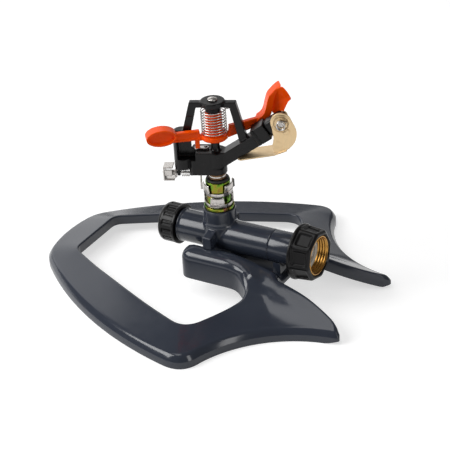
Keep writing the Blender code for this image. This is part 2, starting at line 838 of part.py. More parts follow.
def make_base_screws(rig, steel, deck):
    """Two pan-head screws from below, into the lugs."""
    head_top = deck - SEAT - SCREW_SEAT - SEAT
    tip = head_top + SCREW_LENGTH - 0.0012
    for side, name in ((-1, "base_screw_near"), (1, "base_screw_far")):
        screw = lathe([(0, head_top - 0.0024), (SCREW_HEAD_RADIUS * 0.7, head_top - 0.0024),
                       (SCREW_HEAD_RADIUS, head_top - 0.0010), (SCREW_HEAD_RADIUS, head_top),
                       (SCREW_RADIUS, head_top), (SCREW_RADIUS, tip - 0.002), (0, tip)], 16)
        place_mesh(name, screw, steel, rig, (0, side * LUG_SPACING, 0))


def make_tailpiece(line, grey):
    """Pipe end past the seam, necked down to hold the coupling nut."""
    neck_end = NUT_START + NUT_WEB + RUN
    flange_end = neck_end + SWIVEL_FLANGE
    start = PIPE_SEAM + SEAT
    section = [(PIPE_BORE, start), (PIPE_RADIUS - 0.0004, start), (PIPE_RADIUS, start + 0.0005),
               (PIPE_RADIUS, NUT_START - 0.0008), (NUT_NECK_RADIUS, NUT_START - 0.0008),
               (NUT_NECK_RADIUS, neck_end), (SWIVEL_FLANGE_RADIUS, neck_end),
               (SWIVEL_FLANGE_RADIUS, flange_end), (PIPE_BORE, flange_end)]
    place_mesh("inlet_tailpiece", lathe(section), grey, line)
    return flange_end


def make_coupling(line, black, brass, white, mesh_steel, face):
    """Nut with recessed grips, threaded insert, hose washer and filter."""
    end = NUT_START + NUT_LENGTH
    web = NUT_START + NUT_WEB
    hole = NUT_NECK_RADIUS + RUN
    inside_radius = INSERT_RADIUS + SEAT
    section = [(hole, NUT_START), (NUT_FLANGE_RADIUS, NUT_START),
               (NUT_FLANGE_RADIUS, NUT_START + NUT_FLANGE), (NUT_RADIUS, NUT_START + NUT_FLANGE),
               (NUT_RADIUS, end - 0.0008), (NUT_RADIUS - 0.0008, end), (inside_radius, end),
               (inside_radius, web), (hole, web)]
    nut = place_mesh("coupling_nut", lathe(section, 40), black, line)
    width = math.tau * NUT_RADIUS / NUT_PADS * 0.66
    length = NUT_LENGTH - NUT_FLANGE - 0.0046
    grips = bmesh.new()
    for k in range(NUT_PADS):
        grip = box((2 * NUT_PAD_DEPTH, width, length),
                   (NUT_RADIUS + 0.0004, 0, NUT_START + NUT_FLANGE + 0.0018 + length / 2))
        absorb(grips, grip, Matrix.Rotation(math.tau * (k + 0.5) / NUT_PADS, 4, "Z"))
    cut(nut, place_mesh("nut_grips", grips, None, line))
    weld(nut)
    start = web + SEAT
    length = end - start
    turns = int((length - SWIVEL_FLANGE - 0.002) / THREAD_PITCH)
    bore = [(THREAD_MAJOR, end)]
    for k in range(turns):
        z = end - 0.0008 - k * THREAD_PITCH
        bore += [(THREAD_MINOR, z - THREAD_PITCH * 0.35), (THREAD_MINOR, z - THREAD_PITCH * 0.55),
                 (THREAD_MAJOR, z - THREAD_PITCH * 0.9)]
    bore += [(THREAD_MAJOR, start)]
    section = [(INSERT_RADIUS, start), (INSERT_RADIUS, end)] + bore
    place_mesh("coupling_insert", lathe(section, 26), brass, line)
    low = face + SEAT
    washer = ring(WASHER_BORE, THREAD_MINOR - SEAT, low, low + WASHER_THICKNESS)
    place_mesh("hose_washer", washer, white, line)
    place_mesh("filter_screen", dome(WASHER_BORE - SEAT, low + 0.0004), mesh_steel, line)
    return end


def dome(radius, low):
    """Thin dished disc."""
    levels = 4
    outer = [(radius * math.sin(math.pi / 2 * k / levels),
              low + FILTER_RISE * (math.cos(math.pi / 2 * k / levels))) for k in range(levels + 1)]
    under = [(r, z - FILTER_THICKNESS) for r, z in reversed(outer)]
    return lathe(outer + under, 24)


def make_end_cap(line, black, rubber):
    """Ribbed cap screwed on the blind end, with the gasket it presses on the pipe."""
    mouth = -PIPE_START - 0.0018 - RUN
    end = mouth - CAP_LENGTH
    floor = end + CAP_END_WALL
    bore = CAP_SPIGOT_RADIUS + RUN
    section = [(0, end), (CAP_RADIUS - 0.0016, end), (CAP_RADIUS, end + 0.0016),
               (CAP_RADIUS, mouth - CAP_RIM), (CAP_RIB_RADIUS, mouth - CAP_RIM),
               (CAP_RIB_RADIUS, mouth), (bore, mouth), (bore, floor), (0, floor)]
    cap = place_mesh("end_cap", lathe(section, CAP_RIBS * 3), black, line)
    length = CAP_LENGTH - CAP_RIM - 0.0012
    middle = (CAP_RIB_RADIUS + CAP_RADIUS) / 2 - 0.0009
    ribs = bmesh.new()
    for k in range(CAP_RIBS):
        rib = box((CAP_RIB_RADIUS - CAP_RADIUS + 0.0012, 0.0022, length),
                  (middle, 0, mouth - CAP_RIM / 2 - length / 2))
        absorb(ribs, rib, Matrix.Rotation(math.tau * (k + 0.5) / CAP_RIBS, 4, "Z"))
    add(cap, place_mesh("cap_ribs", ribs, None, line))
    weld(cap)
    spigot_end = -PIPE_START - CAP_SPIGOT_LENGTH
    gasket = rod(CAP_SPIGOT_RADIUS - SEAT, floor + SEAT, spigot_end - SEAT)
    place_mesh("cap_gasket", gasket, rubber, line)


# Bearing

def make_bearing(rig, plated, bronze, rubber, steel):
    """Nipple in the tee, the tube that turns in it, and the rings between them."""
    flange_low = TEE_TOP + SEAT
    flange_high = flange_low + NIPPLE_FLANGE
    root = TEE_BORE - SEAT
    section = [(NIPPLE_BORE, NIPPLE_BOTTOM), (root, NIPPLE_BOTTOM), (root, flange_low),
               (NIPPLE_FLANGE_RADIUS, flange_low), (NIPPLE_FLANGE_RADIUS, flange_high),
               (NIPPLE_RADIUS, flange_high), (NIPPLE_RADIUS, NIPPLE_TOP - 0.0005),
               (NIPPLE_RADIUS - 0.0005, NIPPLE_TOP), (NIPPLE_BORE, NIPPLE_TOP)]
    place_mesh("bearing_nipple", lathe(section), plated, rig)
    washer_top = NIPPLE_BOTTOM - SEAT
    flange_top = washer_top - SEAT_WASHER - SEAT
    bottom = flange_top - TUBE_FLANGE
    top = BODY_BOTTOM + BODY_SOCKET - SEAT
    section = [(TUBE_BORE, bottom), (TUBE_FLANGE_RADIUS, bottom), (TUBE_FLANGE_RADIUS, flange_top),
               (TUBE_RADIUS, flange_top), (TUBE_RADIUS, top), (TUBE_BORE, top)]
    place_mesh("bearing_tube", lathe(section, 24), bronze, rig)
    washer = ring(TUBE_RADIUS + SEAT, TUBE_FLANGE_RADIUS, washer_top - SEAT_WASHER, washer_top, 24)
    place_mesh("seat_washer", washer, rubber, rig)
    low = NIPPLE_TOP + SEAT
    section = [(TUBE_RADIUS + SEAT, low), (SEAL_RADIUS, low),
               (SEAL_RADIUS, low + SEAL_HEIGHT * 0.6), (SEAL_RADIUS - 0.0006, low + SEAL_HEIGHT),
               (TUBE_RADIUS + SEAT, low + SEAL_HEIGHT)]
    place_mesh("dust_seal", lathe(section), rubber, rig)
    low += SEAL_HEIGHT + SEAT
    pitch = (BODY_BOTTOM - SEAT - low - THRUST_THICKNESS) / (THRUST_WASHERS - 1)
    for k in range(THRUST_WASHERS):
        z = low + k * pitch
        outer = THRUST_RADIUS - 0.0004 * (k % 2)
        washer = ring(TUBE_RADIUS + SEAT / 2, outer, z, z + THRUST_THICKNESS, 20)
        place_mesh(f"thrust_washer_{k + 1}", washer, steel if k % 2 else bronze, rig)


def make_collar(name, rig, steel, low, azimuth, stop_azimuth, stop_high):
    """Sprung ring of stamped pads, with one bent stop for the trip wire."""
    inner = NIPPLE_RADIUS + SEAT
    band = ring(inner, inner + COLLAR_WALL, low, low + COLLAR_BAND, 27)
    collar = place_mesh(name, band, steel, rig)
    pads = bmesh.new()
    for k in range(COLLAR_PADS):
        centre = math.radians(azimuth + 360 / COLLAR_PADS * k)
        absorb(pads, pad_mesh(inner, low), Matrix.Rotation(centre, 4, "Z"))
    add(collar, place_mesh(f"{name}_pads", pads, None, rig))
    turn = Matrix.Rotation(math.radians(stop_azimuth), 4, "Z")
    foot_low, foot_top = low + 0.0003, low + COLLAR_BAND - 0.0003
    root, face = inner + COLLAR_WALL / 2, STOP_RADIUS - COLLAR_WALL * 1.5
    stop = side_prism([(root, foot_low), (STOP_RADIUS, foot_low), (STOP_RADIUS, stop_high),
                       (face, stop_high), (face, foot_top), (root, foot_top)],
                      -STOP_WIDTH / 2, STOP_WIDTH / 2)
    add(collar, place_mesh(f"{name}_stop", stop, None, rig, turn=turn))
    weld(collar)


def pad_mesh(inner, low):
    """One curved pad: a trapezoid of sheet on the band, wider at its foot, bulged outward."""
    bm = bmesh.new()
    rows = [(0.03, 1.0, 0.4), (0.15, 1.0, 1.0), (0.85, 0.86, 1.0), (1.0, 0.82, 0.6)]
    columns = 4
    wall = COLLAR_WALL
    outer_grid, inner_grid = [], []
    for share, spread, bulge in rows:
        z = low + share * COLLAR_HEIGHT
        face = inner + wall + (COLLAR_PAD_RADIUS - inner - wall) * bulge
        back = inner + wall / 2
        half = math.radians(COLLAR_PAD_ANGLE / 2) * spread
        angles = [-half + 2 * half * i / columns for i in range(columns + 1)]
        outer_grid.append([bm.verts.new((face * math.cos(a), face * math.sin(a), z))
                           for a in angles])
        inner_grid.append([bm.verts.new((back * math.cos(a), back * math.sin(a), z))
                           for a in angles])
    last = len(rows) - 1
    for r in range(last):
        for c in range(columns):
            bm.faces.new((outer_grid[r][c], outer_grid[r][c + 1],
                          outer_grid[r + 1][c + 1], outer_grid[r + 1][c]))
            bm.faces.new((inner_grid[r][c], inner_grid[r + 1][c],
                          inner_grid[r + 1][c + 1], inner_grid[r][c + 1]))
        for c in (0, columns):
            bm.faces.new((outer_grid[r][c], outer_grid[r + 1][c],
                          inner_grid[r + 1][c], inner_grid[r][c]))
    for r in (0, last):
        for c in range(columns):
            bm.faces.new((outer_grid[r][c], outer_grid[r][c + 1],
                          inner_grid[r][c + 1], inner_grid[r][c]))
    bmesh.ops.triangulate(bm, faces=bm.faces)
    return bm


# Sprinkler body

def make_body(head, barrel, black):
    """Body, rear block, trip column, barrel and bridge frame as one moulding."""
    core = rod(BODY_RADIUS, BODY_BOTTOM, BODY_TOP, 28)
    body = place_mesh("sprinkler_body", core, black, head)
    block = prism([(0, -BLOCK_HALF), (0, BLOCK_HALF), (-BLOCK_REACH, BLOCK_HALF),
                   (-BLOCK_REACH, -BLOCK_HALF + 0.0035), (-BLOCK_REACH + 0.0032, -BLOCK_HALF)],
                  BLOCK_BOTTOM, BLOCK_TOP)
    block = place_mesh("rear_block", block, None, head)
    bevel(block, 0.0006, 1)
    column = lathe([(0, COLUMN_BOTTOM), (COLUMN_RADIUS, COLUMN_BOTTOM),
                    (COLUMN_RADIUS, COLUMN_TOP - 0.002), (COLUMN_RADIUS - 0.001, COLUMN_TOP),
                    (0, COLUMN_TOP)], 24)
    column = place_mesh("trip_column", column, None, head, (-COLUMN_REACH, 0, 0))
    slot_low, slot_high = COLUMN_BOTTOM + 0.0085, COLUMN_TOP - 0.0065
    slot = box((COLUMN_RADIUS * 2, COLUMN_RADIUS * 2, slot_high - slot_low),
               (-COLUMN_REACH + COLUMN_RADIUS * 0.5, -COLUMN_RADIUS * 0.85,
                (slot_high + slot_low) / 2))
    clear_low, clear_high = HUB_FLANGE_TOP - HUB_FLANGE - 0.0010, COLUMN_TOP + 0.0100
    swing = box((COLUMN_RADIUS * 4, COLUMN_RADIUS * 2, clear_high - clear_low),
                (-COLUMN_REACH, -COLUMN_RADIUS - ARM_RIM_HALF, (clear_high + clear_low) / 2))
    cut(column, place_mesh("column_slot", slot, None, head),
        place_mesh("arm_clearance", swing, None, head))
    web = box((COLUMN_REACH - BLOCK_REACH + 0.003, COLUMN_RADIUS * 1.2, 0.0100),
              (-(COLUMN_REACH + BLOCK_REACH - 0.003) / 2, 0, BLOCK_TOP - 0.0080))
    web = place_mesh("column_web", web, None, head)
    tilt = math.radians(BARREL_TILT)
    tube = box((BARREL_LENGTH, BARREL_WIDTH, BARREL_DEPTH), (BARREL_LENGTH / 2, 0, 0))
    tube = place_mesh("barrel", tube, None, barrel)
    bevel(tube, 0.0022, 2)
    add(body, block, web, column, tube)
    for side in (-1, 1):
        add(body, make_leg(head, side, tilt))
    make_eyes(head, body)
    disc_low = DISC_TOP - DISC_THICKNESS
    spindle = lathe([(0, BOSS_BOTTOM), (BOSS_RADIUS, BOSS_BOTTOM), (BOSS_RADIUS, disc_low),
                     (DISC_RADIUS, disc_low), (DISC_RADIUS, DISC_TOP - 0.0006),
                     (DISC_RADIUS - 0.0006, DISC_TOP), (0, DISC_TOP)], 24)
    post = lathe([(0, BODY_TOP - 0.0025), (POST_RADIUS + 0.0010, BODY_TOP - 0.0025),
                  (POST_RADIUS, BODY_TOP + 0.0020), (POST_RADIUS, POST_TOP), (0, POST_TOP)], 16)
    absorb(spindle, post)
    weld(body)
    add(body, place_mesh("bridge_spindle", spindle, None, head))
    weld(body)
    socket = rod(TUBE_RADIUS + SEAT, BODY_BOTTOM - 0.01, BODY_BOTTOM + BODY_SOCKET)
    mouth = BARREL_LENGTH - NOZZLE_SOCKET
    water = lathe([(0, 0), (BARREL_BORE, 0), (BARREL_BORE, mouth), (NOZZLE_SOCKET_RADIUS, mouth),
                   (NOZZLE_SOCKET_RADIUS, BARREL_LENGTH + 0.01), (0, BARREL_LENGTH + 0.01)], 20)
    pin = rod(PIN_RADIUS + SEAT, POST_TOP - PIN_DEPTH - SEAT, DISC_TOP + 0.01, 16)
    cut(body, place_mesh("tube_socket", socket, None, head),
        place_mesh("water_way", water, None, barrel, turn=along_x()),
        place_mesh("pin_hole", pin, None, head))
    weld(body)


def make_leg(head, side, tilt):
    """Top bar and leg of the bridge on one side, down to the barrel or the column."""
    top, under = BRIDGE_TOP, BRIDGE_TOP - BRIDGE_BAR
    foot = BRIDGE_FOOT if side > 0 else BRIDGE_FOOT - 0.0005
    floor = BARREL_HEIGHT + foot * math.tan(tilt) if side > 0 else COLUMN_TOP - 0.004
    lean = LEG_WIDTH / math.cos(math.radians(18))
    outline = [(side * 0.004, top), (side * BRIDGE_SHOULDER, top), (side * foot, floor),
               (side * (foot - lean), floor - 0.001),
               (side * (BRIDGE_SHOULDER - LEG_WIDTH * 0.80), under), (side * 0.004, under)]
    if side < 0:
        outline.reverse()
    name = "bridge_leg_barrel" if side > 0 else "bridge_leg_column"
    leg = place_mesh(name, side_prism(outline, -BRIDGE_HALF_DEPTH, BRIDGE_HALF_DEPTH), None, head)
    bevel(leg, 0.0006, 1)
    return leg


def make_eyes(head, body):
    """Two eyes under the column and block that carry the trip wire."""
    for name, reach in (("inner_eye", INNER_EYE), ("outer_eye", OUTER_EYE)):
        eye = box((EYE_WIDTH, 2 * EYE_RADIUS, COLUMN_BOTTOM + 0.004 - TRIP_HEIGHT + EYE_RADIUS),
                  (-reach, 0, (COLUMN_BOTTOM + 0.004 + TRIP_HEIGHT - EYE_RADIUS) / 2))
        eye = place_mesh(name, eye, None, head)
        bevel(eye, 0.0005, 1)
        add(body, eye)
    hole = rod(TRIP_WIRE + RUN / 2, -OUTER_EYE - 0.01, -INNER_EYE + 0.004, 12)
    cut(body, place_mesh("trip_hole", hole, None, head, (0, 0, TRIP_HEIGHT), along_x()))


def make_nozzle(barrel, black):
    """Nozzle tip pushed into the barrel, drawn in to its mouth."""
    collar = box((NOZZLE_LENGTH, BARREL_WIDTH - 0.0008, BARREL_DEPTH - 0.0010),
                 (BARREL_LENGTH + SEAT + NOZZLE_LENGTH / 2, 0, 0))
    tip = place_mesh("nozzle_tip", collar, black, barrel)
    bevel(tip, 0.0024, 2)
    stem = rod(NOZZLE_SOCKET_RADIUS - SEAT, BARREL_LENGTH - NOZZLE_SOCKET + SEAT,
               BARREL_LENGTH + 0.004, 20)
    end = BARREL_LENGTH + SEAT + NOZZLE_LENGTH
    way = lathe([(0, BARREL_LENGTH - NOZZLE_SOCKET - 0.004),
                 (BARREL_BORE, BARREL_LENGTH - NOZZLE_SOCKET - 0.004),
                 (BARREL_BORE, BARREL_LENGTH), (NOZZLE_MOUTH, end - 0.004),
                 (NOZZLE_MOUTH, end - 0.001), (NOZZLE_MOUTH + 0.001, end + 0.002),
                 (0, end + 0.002)], 20)
    add(tip, place_mesh("nozzle_stem", stem, None, barrel, turn=along_x()))
    cut(tip, place_mesh("nozzle_way", way, None, barrel, turn=along_x()))
    holes = bmesh.new()
    for side in (-1, 1):
        hole = rod(STUD_RADIUS + SEAT, BARREL_WIDTH / 2 - 0.0020, BARREL_WIDTH, 14)
        absorb(holes, hole, Matrix.Rotation(math.radians(-90 * side), 4, "X"))
    cut(tip, place_mesh("stud_holes", holes, None, barrel, (PIVOT_ALONG, 0, 0)))
    weld(tip)


def make_fulcrum_pin(head, steel):
    """Pin through the bridge and the arm's hub into the post, with a domed head."""
    low = POST_TOP - PIN_DEPTH
    seat = DISC_TOP + SEAT
    crown = [(PIN_HEAD_RADIUS * math.cos(math.pi / 2 * k / 4),
              seat + 0.0004 + PIN_HEAD_RISE * math.sin(math.pi / 2 * k / 4)) for k in range(4)]
    section = [(0, low), (PIN_RADIUS - 0.0004, low), (PIN_RADIUS, low + 0.0004),
               (PIN_RADIUS, seat), (PIN_HEAD_RADIUS, seat)] + crown
    section += [(0, seat + 0.0004 + PIN_HEAD_RISE)]
    place_mesh("fulcrum_pin", lathe(section, 20), steel, head)


# Impact arm

def make_arm(arm, orange):
    """Hub with its spring seat, ribbed bars, counterweight, down tab and spoon."""
    flange_low = HUB_FLANGE_TOP - HUB_FLANGE
    section = [(0, flange_low), (HUB_FLANGE_RADIUS - 0.0012, flange_low),
               (HUB_FLANGE_RADIUS, flange_low + 0.0012), (HUB_FLANGE_RADIUS, HUB_FLANGE_TOP),
               (HUB_RADIUS, HUB_FLANGE_TOP), (HUB_RADIUS, HUB_TOP), (0, HUB_TOP)]
    body = place_mesh("impact_arm", lathe(section, 28), orange, arm)
    add(body, *make_bars(arm))
    add(body, make_weight(arm))
    tab_top = HUB_FLANGE_TOP - HUB_FLANGE / 2
    tab = box((TAB_SIZE, TAB_SIZE, tab_top - TAB_BOTTOM),
              (-TAB_REACH, 0, (tab_top + TAB_BOTTOM) / 2))
    tab = place_mesh("arm_tab", tab, None, arm)
    bevel(tab, 0.0005, 1)
    spoon = place_mesh("arm_spoon", spoon_mesh(), None, arm)
    add(body, tab, spoon)
    hole = rod(PIN_RADIUS + RUN, flange_low - 0.01, HUB_TOP + 0.01, 16)
    cut(body, place_mesh("hub_hole", hole, None, arm))
    weld(body)


def beam_edges():
    """Upper and lower edge of the arm from the hub out to the top of the spoon."""
    out = HUB_FLANGE_RADIUS
    upper = [(0.0050, 0), (out, 0), (out + 0.0006, 0.0054), (0.0180, 0.0064),
             (0.0253, 0.0076), (0.0328, 0.0088), (0.0362, 0.0110), (0.0381, 0.0146),
             (0.0396, 0.0201), (0.0419, 0.0262), (0.0468, 0.0316), (0.0498, 0.0340)]
    lower = [(0.0050, -HUB_FLANGE), (out, -HUB_FLANGE), (0.0180, -0.0006), (0.0260, 0.0032),
             (0.0298, 0.0046), (0.0345, 0.0050), (0.0390, 0.0074), (0.0424, 0.0108),
             (0.0436, 0.0162), (0.0447, 0.0205), (0.0464, 0.0276), (0.0510, 0.0332)]
    return above_flange(upper), above_flange(lower)


def above_flange(points):
    """Side points of the arm whose heights are given from the top of the hub's flange."""
    return [(u, HUB_FLANGE_TOP + rise) for u, rise in points]


def tail_edges():
    """Upper and lower edge of the bar that carries the counterweight."""
    end = -WEIGHT_REACH + WEIGHT_LENGTH * 0.35
    out = -HUB_FLANGE_RADIUS
    upper = [(-0.0050, 0), (out - 0.0004, 0), (out - 0.0012, WEIGHT_RISE),
             (end, WEIGHT_RISE + 0.0008)]
    lower = [(-0.0050, -HUB_FLANGE), (out, -HUB_FLANGE),
             (out - 0.0060, -HUB_FLANGE + ARM_BAR_RISE),
             (end, WEIGHT_RISE + 0.0008 - ARM_BAR_HEIGHT)]
    return above_flange(upper), above_flange(lower)


def make_bars(arm):
    """Web and thicker rims of both bars, and the solid neck that carries the spoon."""
    pieces = []
    bars = (("spoon_beam", *beam_edges(), 7, 6), ("tail_bar", *tail_edges(), 4, 4))
    for name, upper, lower, high_count, low_count in bars:
        web = side_prism(lower + upper[::-1], -ARM_WEB_HALF, ARM_WEB_HALF)
        pieces.append(place_mesh(f"{name}_web", web, None, arm))
        rims = bmesh.new()
        for edge, towards in ((upper[:high_count], -1), (lower[:low_count], 1)):
            inner = [(u, z + towards * ARM_RIM) for u, z in edge]
            absorb(rims, side_prism(edge + inner[::-1], -ARM_RIM_HALF, ARM_RIM_HALF))
        pieces.append(place_mesh(f"{name}_rims", rims, None, arm))
    upper, lower = beam_edges()
    neck = side_prism(lower[4:] + upper[5:][::-1], -ARM_RIM_HALF - 0.0001, ARM_RIM_HALF + 0.0001)
    pieces.append(place_mesh("spoon_neck", neck, None, arm))
    return pieces


def oval(length, tall, count=20):
    return [(length / 2 * math.cos(math.tau * i / count), tall / 2 * math.sin(math.tau * i / count))
            for i in range(count)]


def make_weight(arm):
    """Oval counterweight with a shallow dish in each face."""
    centre = (-WEIGHT_REACH, 0, WEIGHT_HEIGHT)
    half = WEIGHT_DEPTH / 2
    outline = oval(WEIGHT_LENGTH, WEIGHT_TALL)
    weight = place_mesh("counterweight", side_prism(outline, -half, half), None, arm, centre)
    bevel(weight, 0.0008, 1)
    outline = oval(WEIGHT_LENGTH - 2 * WEIGHT_RIM, WEIGHT_TALL - 2 * WEIGHT_RIM)
    dishes = bmesh.new()
    for side in (-1, 1):
        near, far = sorted((side * (half - WEIGHT_RECESS), side * (half + 0.002)))
        absorb(dishes, side_prism(outline, near, far))
    cut(weight, place_mesh("weight_dishes", dishes, None, arm, centre))
    return weight


def spoon_mesh():
    """Vane beside the beam's end, curled toward the water jet."""
    columns = [(0.0436, 0.0128, 0.0253), (0.0465, 0.0116, 0.0293), (0.0490, 0.0122, 0.0324),
               (0.0513, 0.0138, 0.0330), (0.0532, 0.0181, 0.0313), (0.0550, 0.0214, 0.0286),
               (0.0566, 0.0237, 0.0253)]
    columns = [(u, HUB_FLANGE_TOP + low, HUB_FLANGE_TOP + high) for u, low, high in columns]
    first, last = columns[0][0], columns[-1][0]
    bm = bmesh.new()
    near, far = [], []
    for u, low, high in columns:
        t = (u - first) / (last - first)
        bend = SPOON_CURL * t ** 1.8
        for store, offset in ((near, -SPOON_WALL / 2), (far, SPOON_WALL / 2)):
            y = offset - bend
            middle = y + 0.12 * SPOON_CURL * (1 - t)
            store.append([bm.verts.new((u, y, low)), bm.verts.new((u, middle, (low + high) / 2)),
                          bm.verts.new((u, y, high))])
    count = len(columns)
    for i in range(count - 1):
        for k in range(2):
            bm.faces.new((near[i][k], near[i + 1][k], near[i + 1][k + 1], near[i][k + 1]))
            bm.faces.new((far[i][k], far[i][k + 1], far[i + 1][k + 1], far[i + 1][k]))
        for k in (0, 2):
            bm.faces.new((near[i][k], far[i][k], far[i + 1][k], near[i + 1][k]))
    for i in (0, count - 1):
        for k in range(2):
            bm.faces.new((near[i][k], near[i][k + 1], far[i][k + 1], far[i][k]))
    return bm


def coil_points(radius, low, high, turns, start_angle=0.0):
    """Points along a helix."""
    count = turns * POINTS_PER_TURN
    points = []
    for i in range(count + 1):
        t = i / count
        angle = math.radians(start_angle) + math.tau * turns * t
        points.append((radius * math.cos(angle), radius * math.sin(angle), low + (high - low) * t))
    return points


def make_arm_spring(head, steel):
    """Return spring round the hub, its upper end hooked out under the bridge bar."""
    low = HUB_FLANGE_TOP + SEAT + SPRING_WIRE
    high = SPRING_TOP
    points = coil_points(SPRING_RADIUS, low, high, SPRING_TURNS)
    first, last = Vector(points[0]), Vector(points[-1])
    tail = first + Vector((0, -2.2 * SPRING_WIRE, 0))
    hook = [last + Vector((SPRING_HOOK * 0.35, 0.0002, 0)), last + Vector((SPRING_HOOK, 0.0002, 0))]
    route = [tuple(tail)] + points + [tuple(p) for p in hook]
    print("arm_spring least gap", round(least_gap(route, SPRING_WIRE) * 1000, 3), "mm")
    wire("arm_spring", route, SPRING_WIRE, steel, head)


# Deflector

def ear_outline():
    """Near side of the deflector about its pivot: round top, bulged front, straight foot."""
    points = []
    for k in range(9):
        angle = math.radians(205 - 170 * k / 8)
        points.append((EAR_RADIUS * math.cos(angle), 0.0012 + EAR_RADIUS * math.sin(angle)))
    return points + [(EAR_RADIUS + 0.0026, -0.0036), (EAR_RADIUS + 0.0031, -0.0092),
                     (EAR_RADIUS + 0.0014, -0.0150), (FLAP_FRONT + 0.0018, -FLAP_DROP + 0.0010),
                     (FLAP_FRONT, -FLAP_DROP), (-FLAP_BEND, -FLAP_BEND_DROP), (-0.0069, -0.0165),
                     (-0.0060, -0.0112), (-0.0066, -0.0058)]


def small_ear_outline():
    """Far side of the deflector: a narrow strap from the stud down to the plate."""
    points = []
    for k in range(7):
        angle = math.radians(200 - 190 * k / 6)
        points.append((SMALL_EAR_RADIUS * math.cos(angle), SMALL_EAR_RADIUS * math.sin(angle)))
    return points + [(SMALL_EAR_RADIUS + 0.0004, -0.0090), (FLAP_FRONT, -FLAP_DROP),
                     (-FLAP_BEND, -FLAP_BEND_DROP), (-0.0050, -0.0150)]


def make_deflector(pivot, gold):
    """Stamped flap: two ears and a plate that lies back under the barrel."""
    near = EAR_OFFSET
    outline = ear_outline()
    flap = side_prism(outline, -near - EAR_WALL, -near)
    flap = place_mesh("deflector_flap", flap, gold, pivot)
    add(flap, place_mesh("far_ear", side_prism(small_ear_outline(), near, near + EAR_WALL),
                         None, pivot))
    wall = EAR_WALL
    sheet = [(FLAP_FRONT, -FLAP_DROP - wall * 0.6), (FLAP_FRONT, -FLAP_DROP + wall * 0.4),
             (-FLAP_BEND, -FLAP_BEND_DROP + wall * 0.4), (-FLAP_BACK, -FLAP_END_DROP + wall),
             (-FLAP_BACK, -FLAP_END_DROP), (-FLAP_BEND, -FLAP_BEND_DROP - wall * 0.6)]
    sheet = side_prism(sheet, -FLAP_HALF_WIDTH, FLAP_HALF_WIDTH)
    sheet = place_mesh("flap_plate", sheet, None, pivot)
    corner = place_mesh("flap_corner", flap_corner_cutter(), None, pivot)
    cut(sheet, corner)
    add(flap, sheet)
    hole = rod(STUD_RADIUS + RUN / 2, -0.02, 0.02, 16)
    cut(flap, place_mesh("pivot_hole", hole, None, pivot, turn=along_y()))
    weld(flap)


def flap_corner_cutter():
    """Wedges that take the two free corners off the plate."""
    wedges = bmesh.new()
    for side in (-1, 1):
        outline = [(-FLAP_BACK - 0.002, side * (FLAP_HALF_WIDTH - 0.0050)),
                   (-FLAP_BACK + 0.0050, side * (FLAP_HALF_WIDTH + 0.002)),
                   (-FLAP_BACK - 0.002, side * (FLAP_HALF_WIDTH + 0.002))]
        absorb(wedges, prism(outline, -0.040, -0.022))
    return wedges


def make_studs(pivot, steel):
    """The two studs that the flap turns on."""
    outside = EAR_OFFSET + EAR_WALL + RUN
    for side, name in ((-1, "deflector_stud_near"), (1, "deflector_stud_far")):
        stud = lathe([(0, BARREL_WIDTH / 2 - 0.0016), (STUD_RADIUS, BARREL_WIDTH / 2 - 0.0016),
                      (STUD_RADIUS, outside), (STUD_HEAD, outside), (STUD_HEAD, outside + 0.0005),
                      (STUD_HEAD - 0.0005, outside + 0.0009), (0, outside + 0.0009)], 16)
        turn = Matrix.Rotation(math.radians(-90 * side), 4, "X")
        place_mesh(name, stud, steel, pivot, turn=turn)


def make_deflector_spring(pivot, steel):
    """Small wound spring round the near stud that holds the flap where it is set."""
    near = EAR_OFFSET + EAR_WALL + SEAT + DEFLECTOR_WIRE
    pitch = 2 * DEFLECTOR_WIRE + 0.0005
    points = coil_points(DEFLECTOR_COIL, near, near + pitch * DEFLECTOR_TURNS, DEFLECTOR_TURNS, 60)
    first, second, last = Vector(points[0]), Vector(points[1]), Vector(points[-1])
    lead = first + (first - second).normalized() * 0.0030
    lead.z = first.z
    out = last + Vector((last.x, last.y, 0)).normalized() * 0.0014
    route = [tuple(lead)] + points + [tuple(out)]
    print("deflector_spring least gap", round(least_gap(route, DEFLECTOR_WIRE) * 1000, 3), "mm")
    wire("deflector_spring", route, DEFLECTOR_WIRE, steel, pivot, turn=along_y())


# Trip mechanism

def make_trip_wire(trip, steel):
    """Wire shaft under the block, bent down beside the collars."""
    bend = 2 * TRIP_WIRE
    corner = Vector((-TRIP_WIRE_REACH, 0, 0))
    route = [Vector((-TRIP_REACH - 0.0010, 0, 0)), Vector((-OUTER_EYE, 0, 0)),
             Vector((-INNER_EYE, 0, 0))]
    for k in range(5):
        angle = math.pi / 2 * (1 - k / 4)
        route.append(corner + Vector((-bend + bend * math.cos(angle), 0,
                                      -bend + bend * math.sin(angle))))
    route += [Vector((-TRIP_WIRE_REACH, 0, -TRIP_WIRE_DROP))]
    wire("trip_wire", [tuple(p) for p in route], TRIP_WIRE, steel, trip)


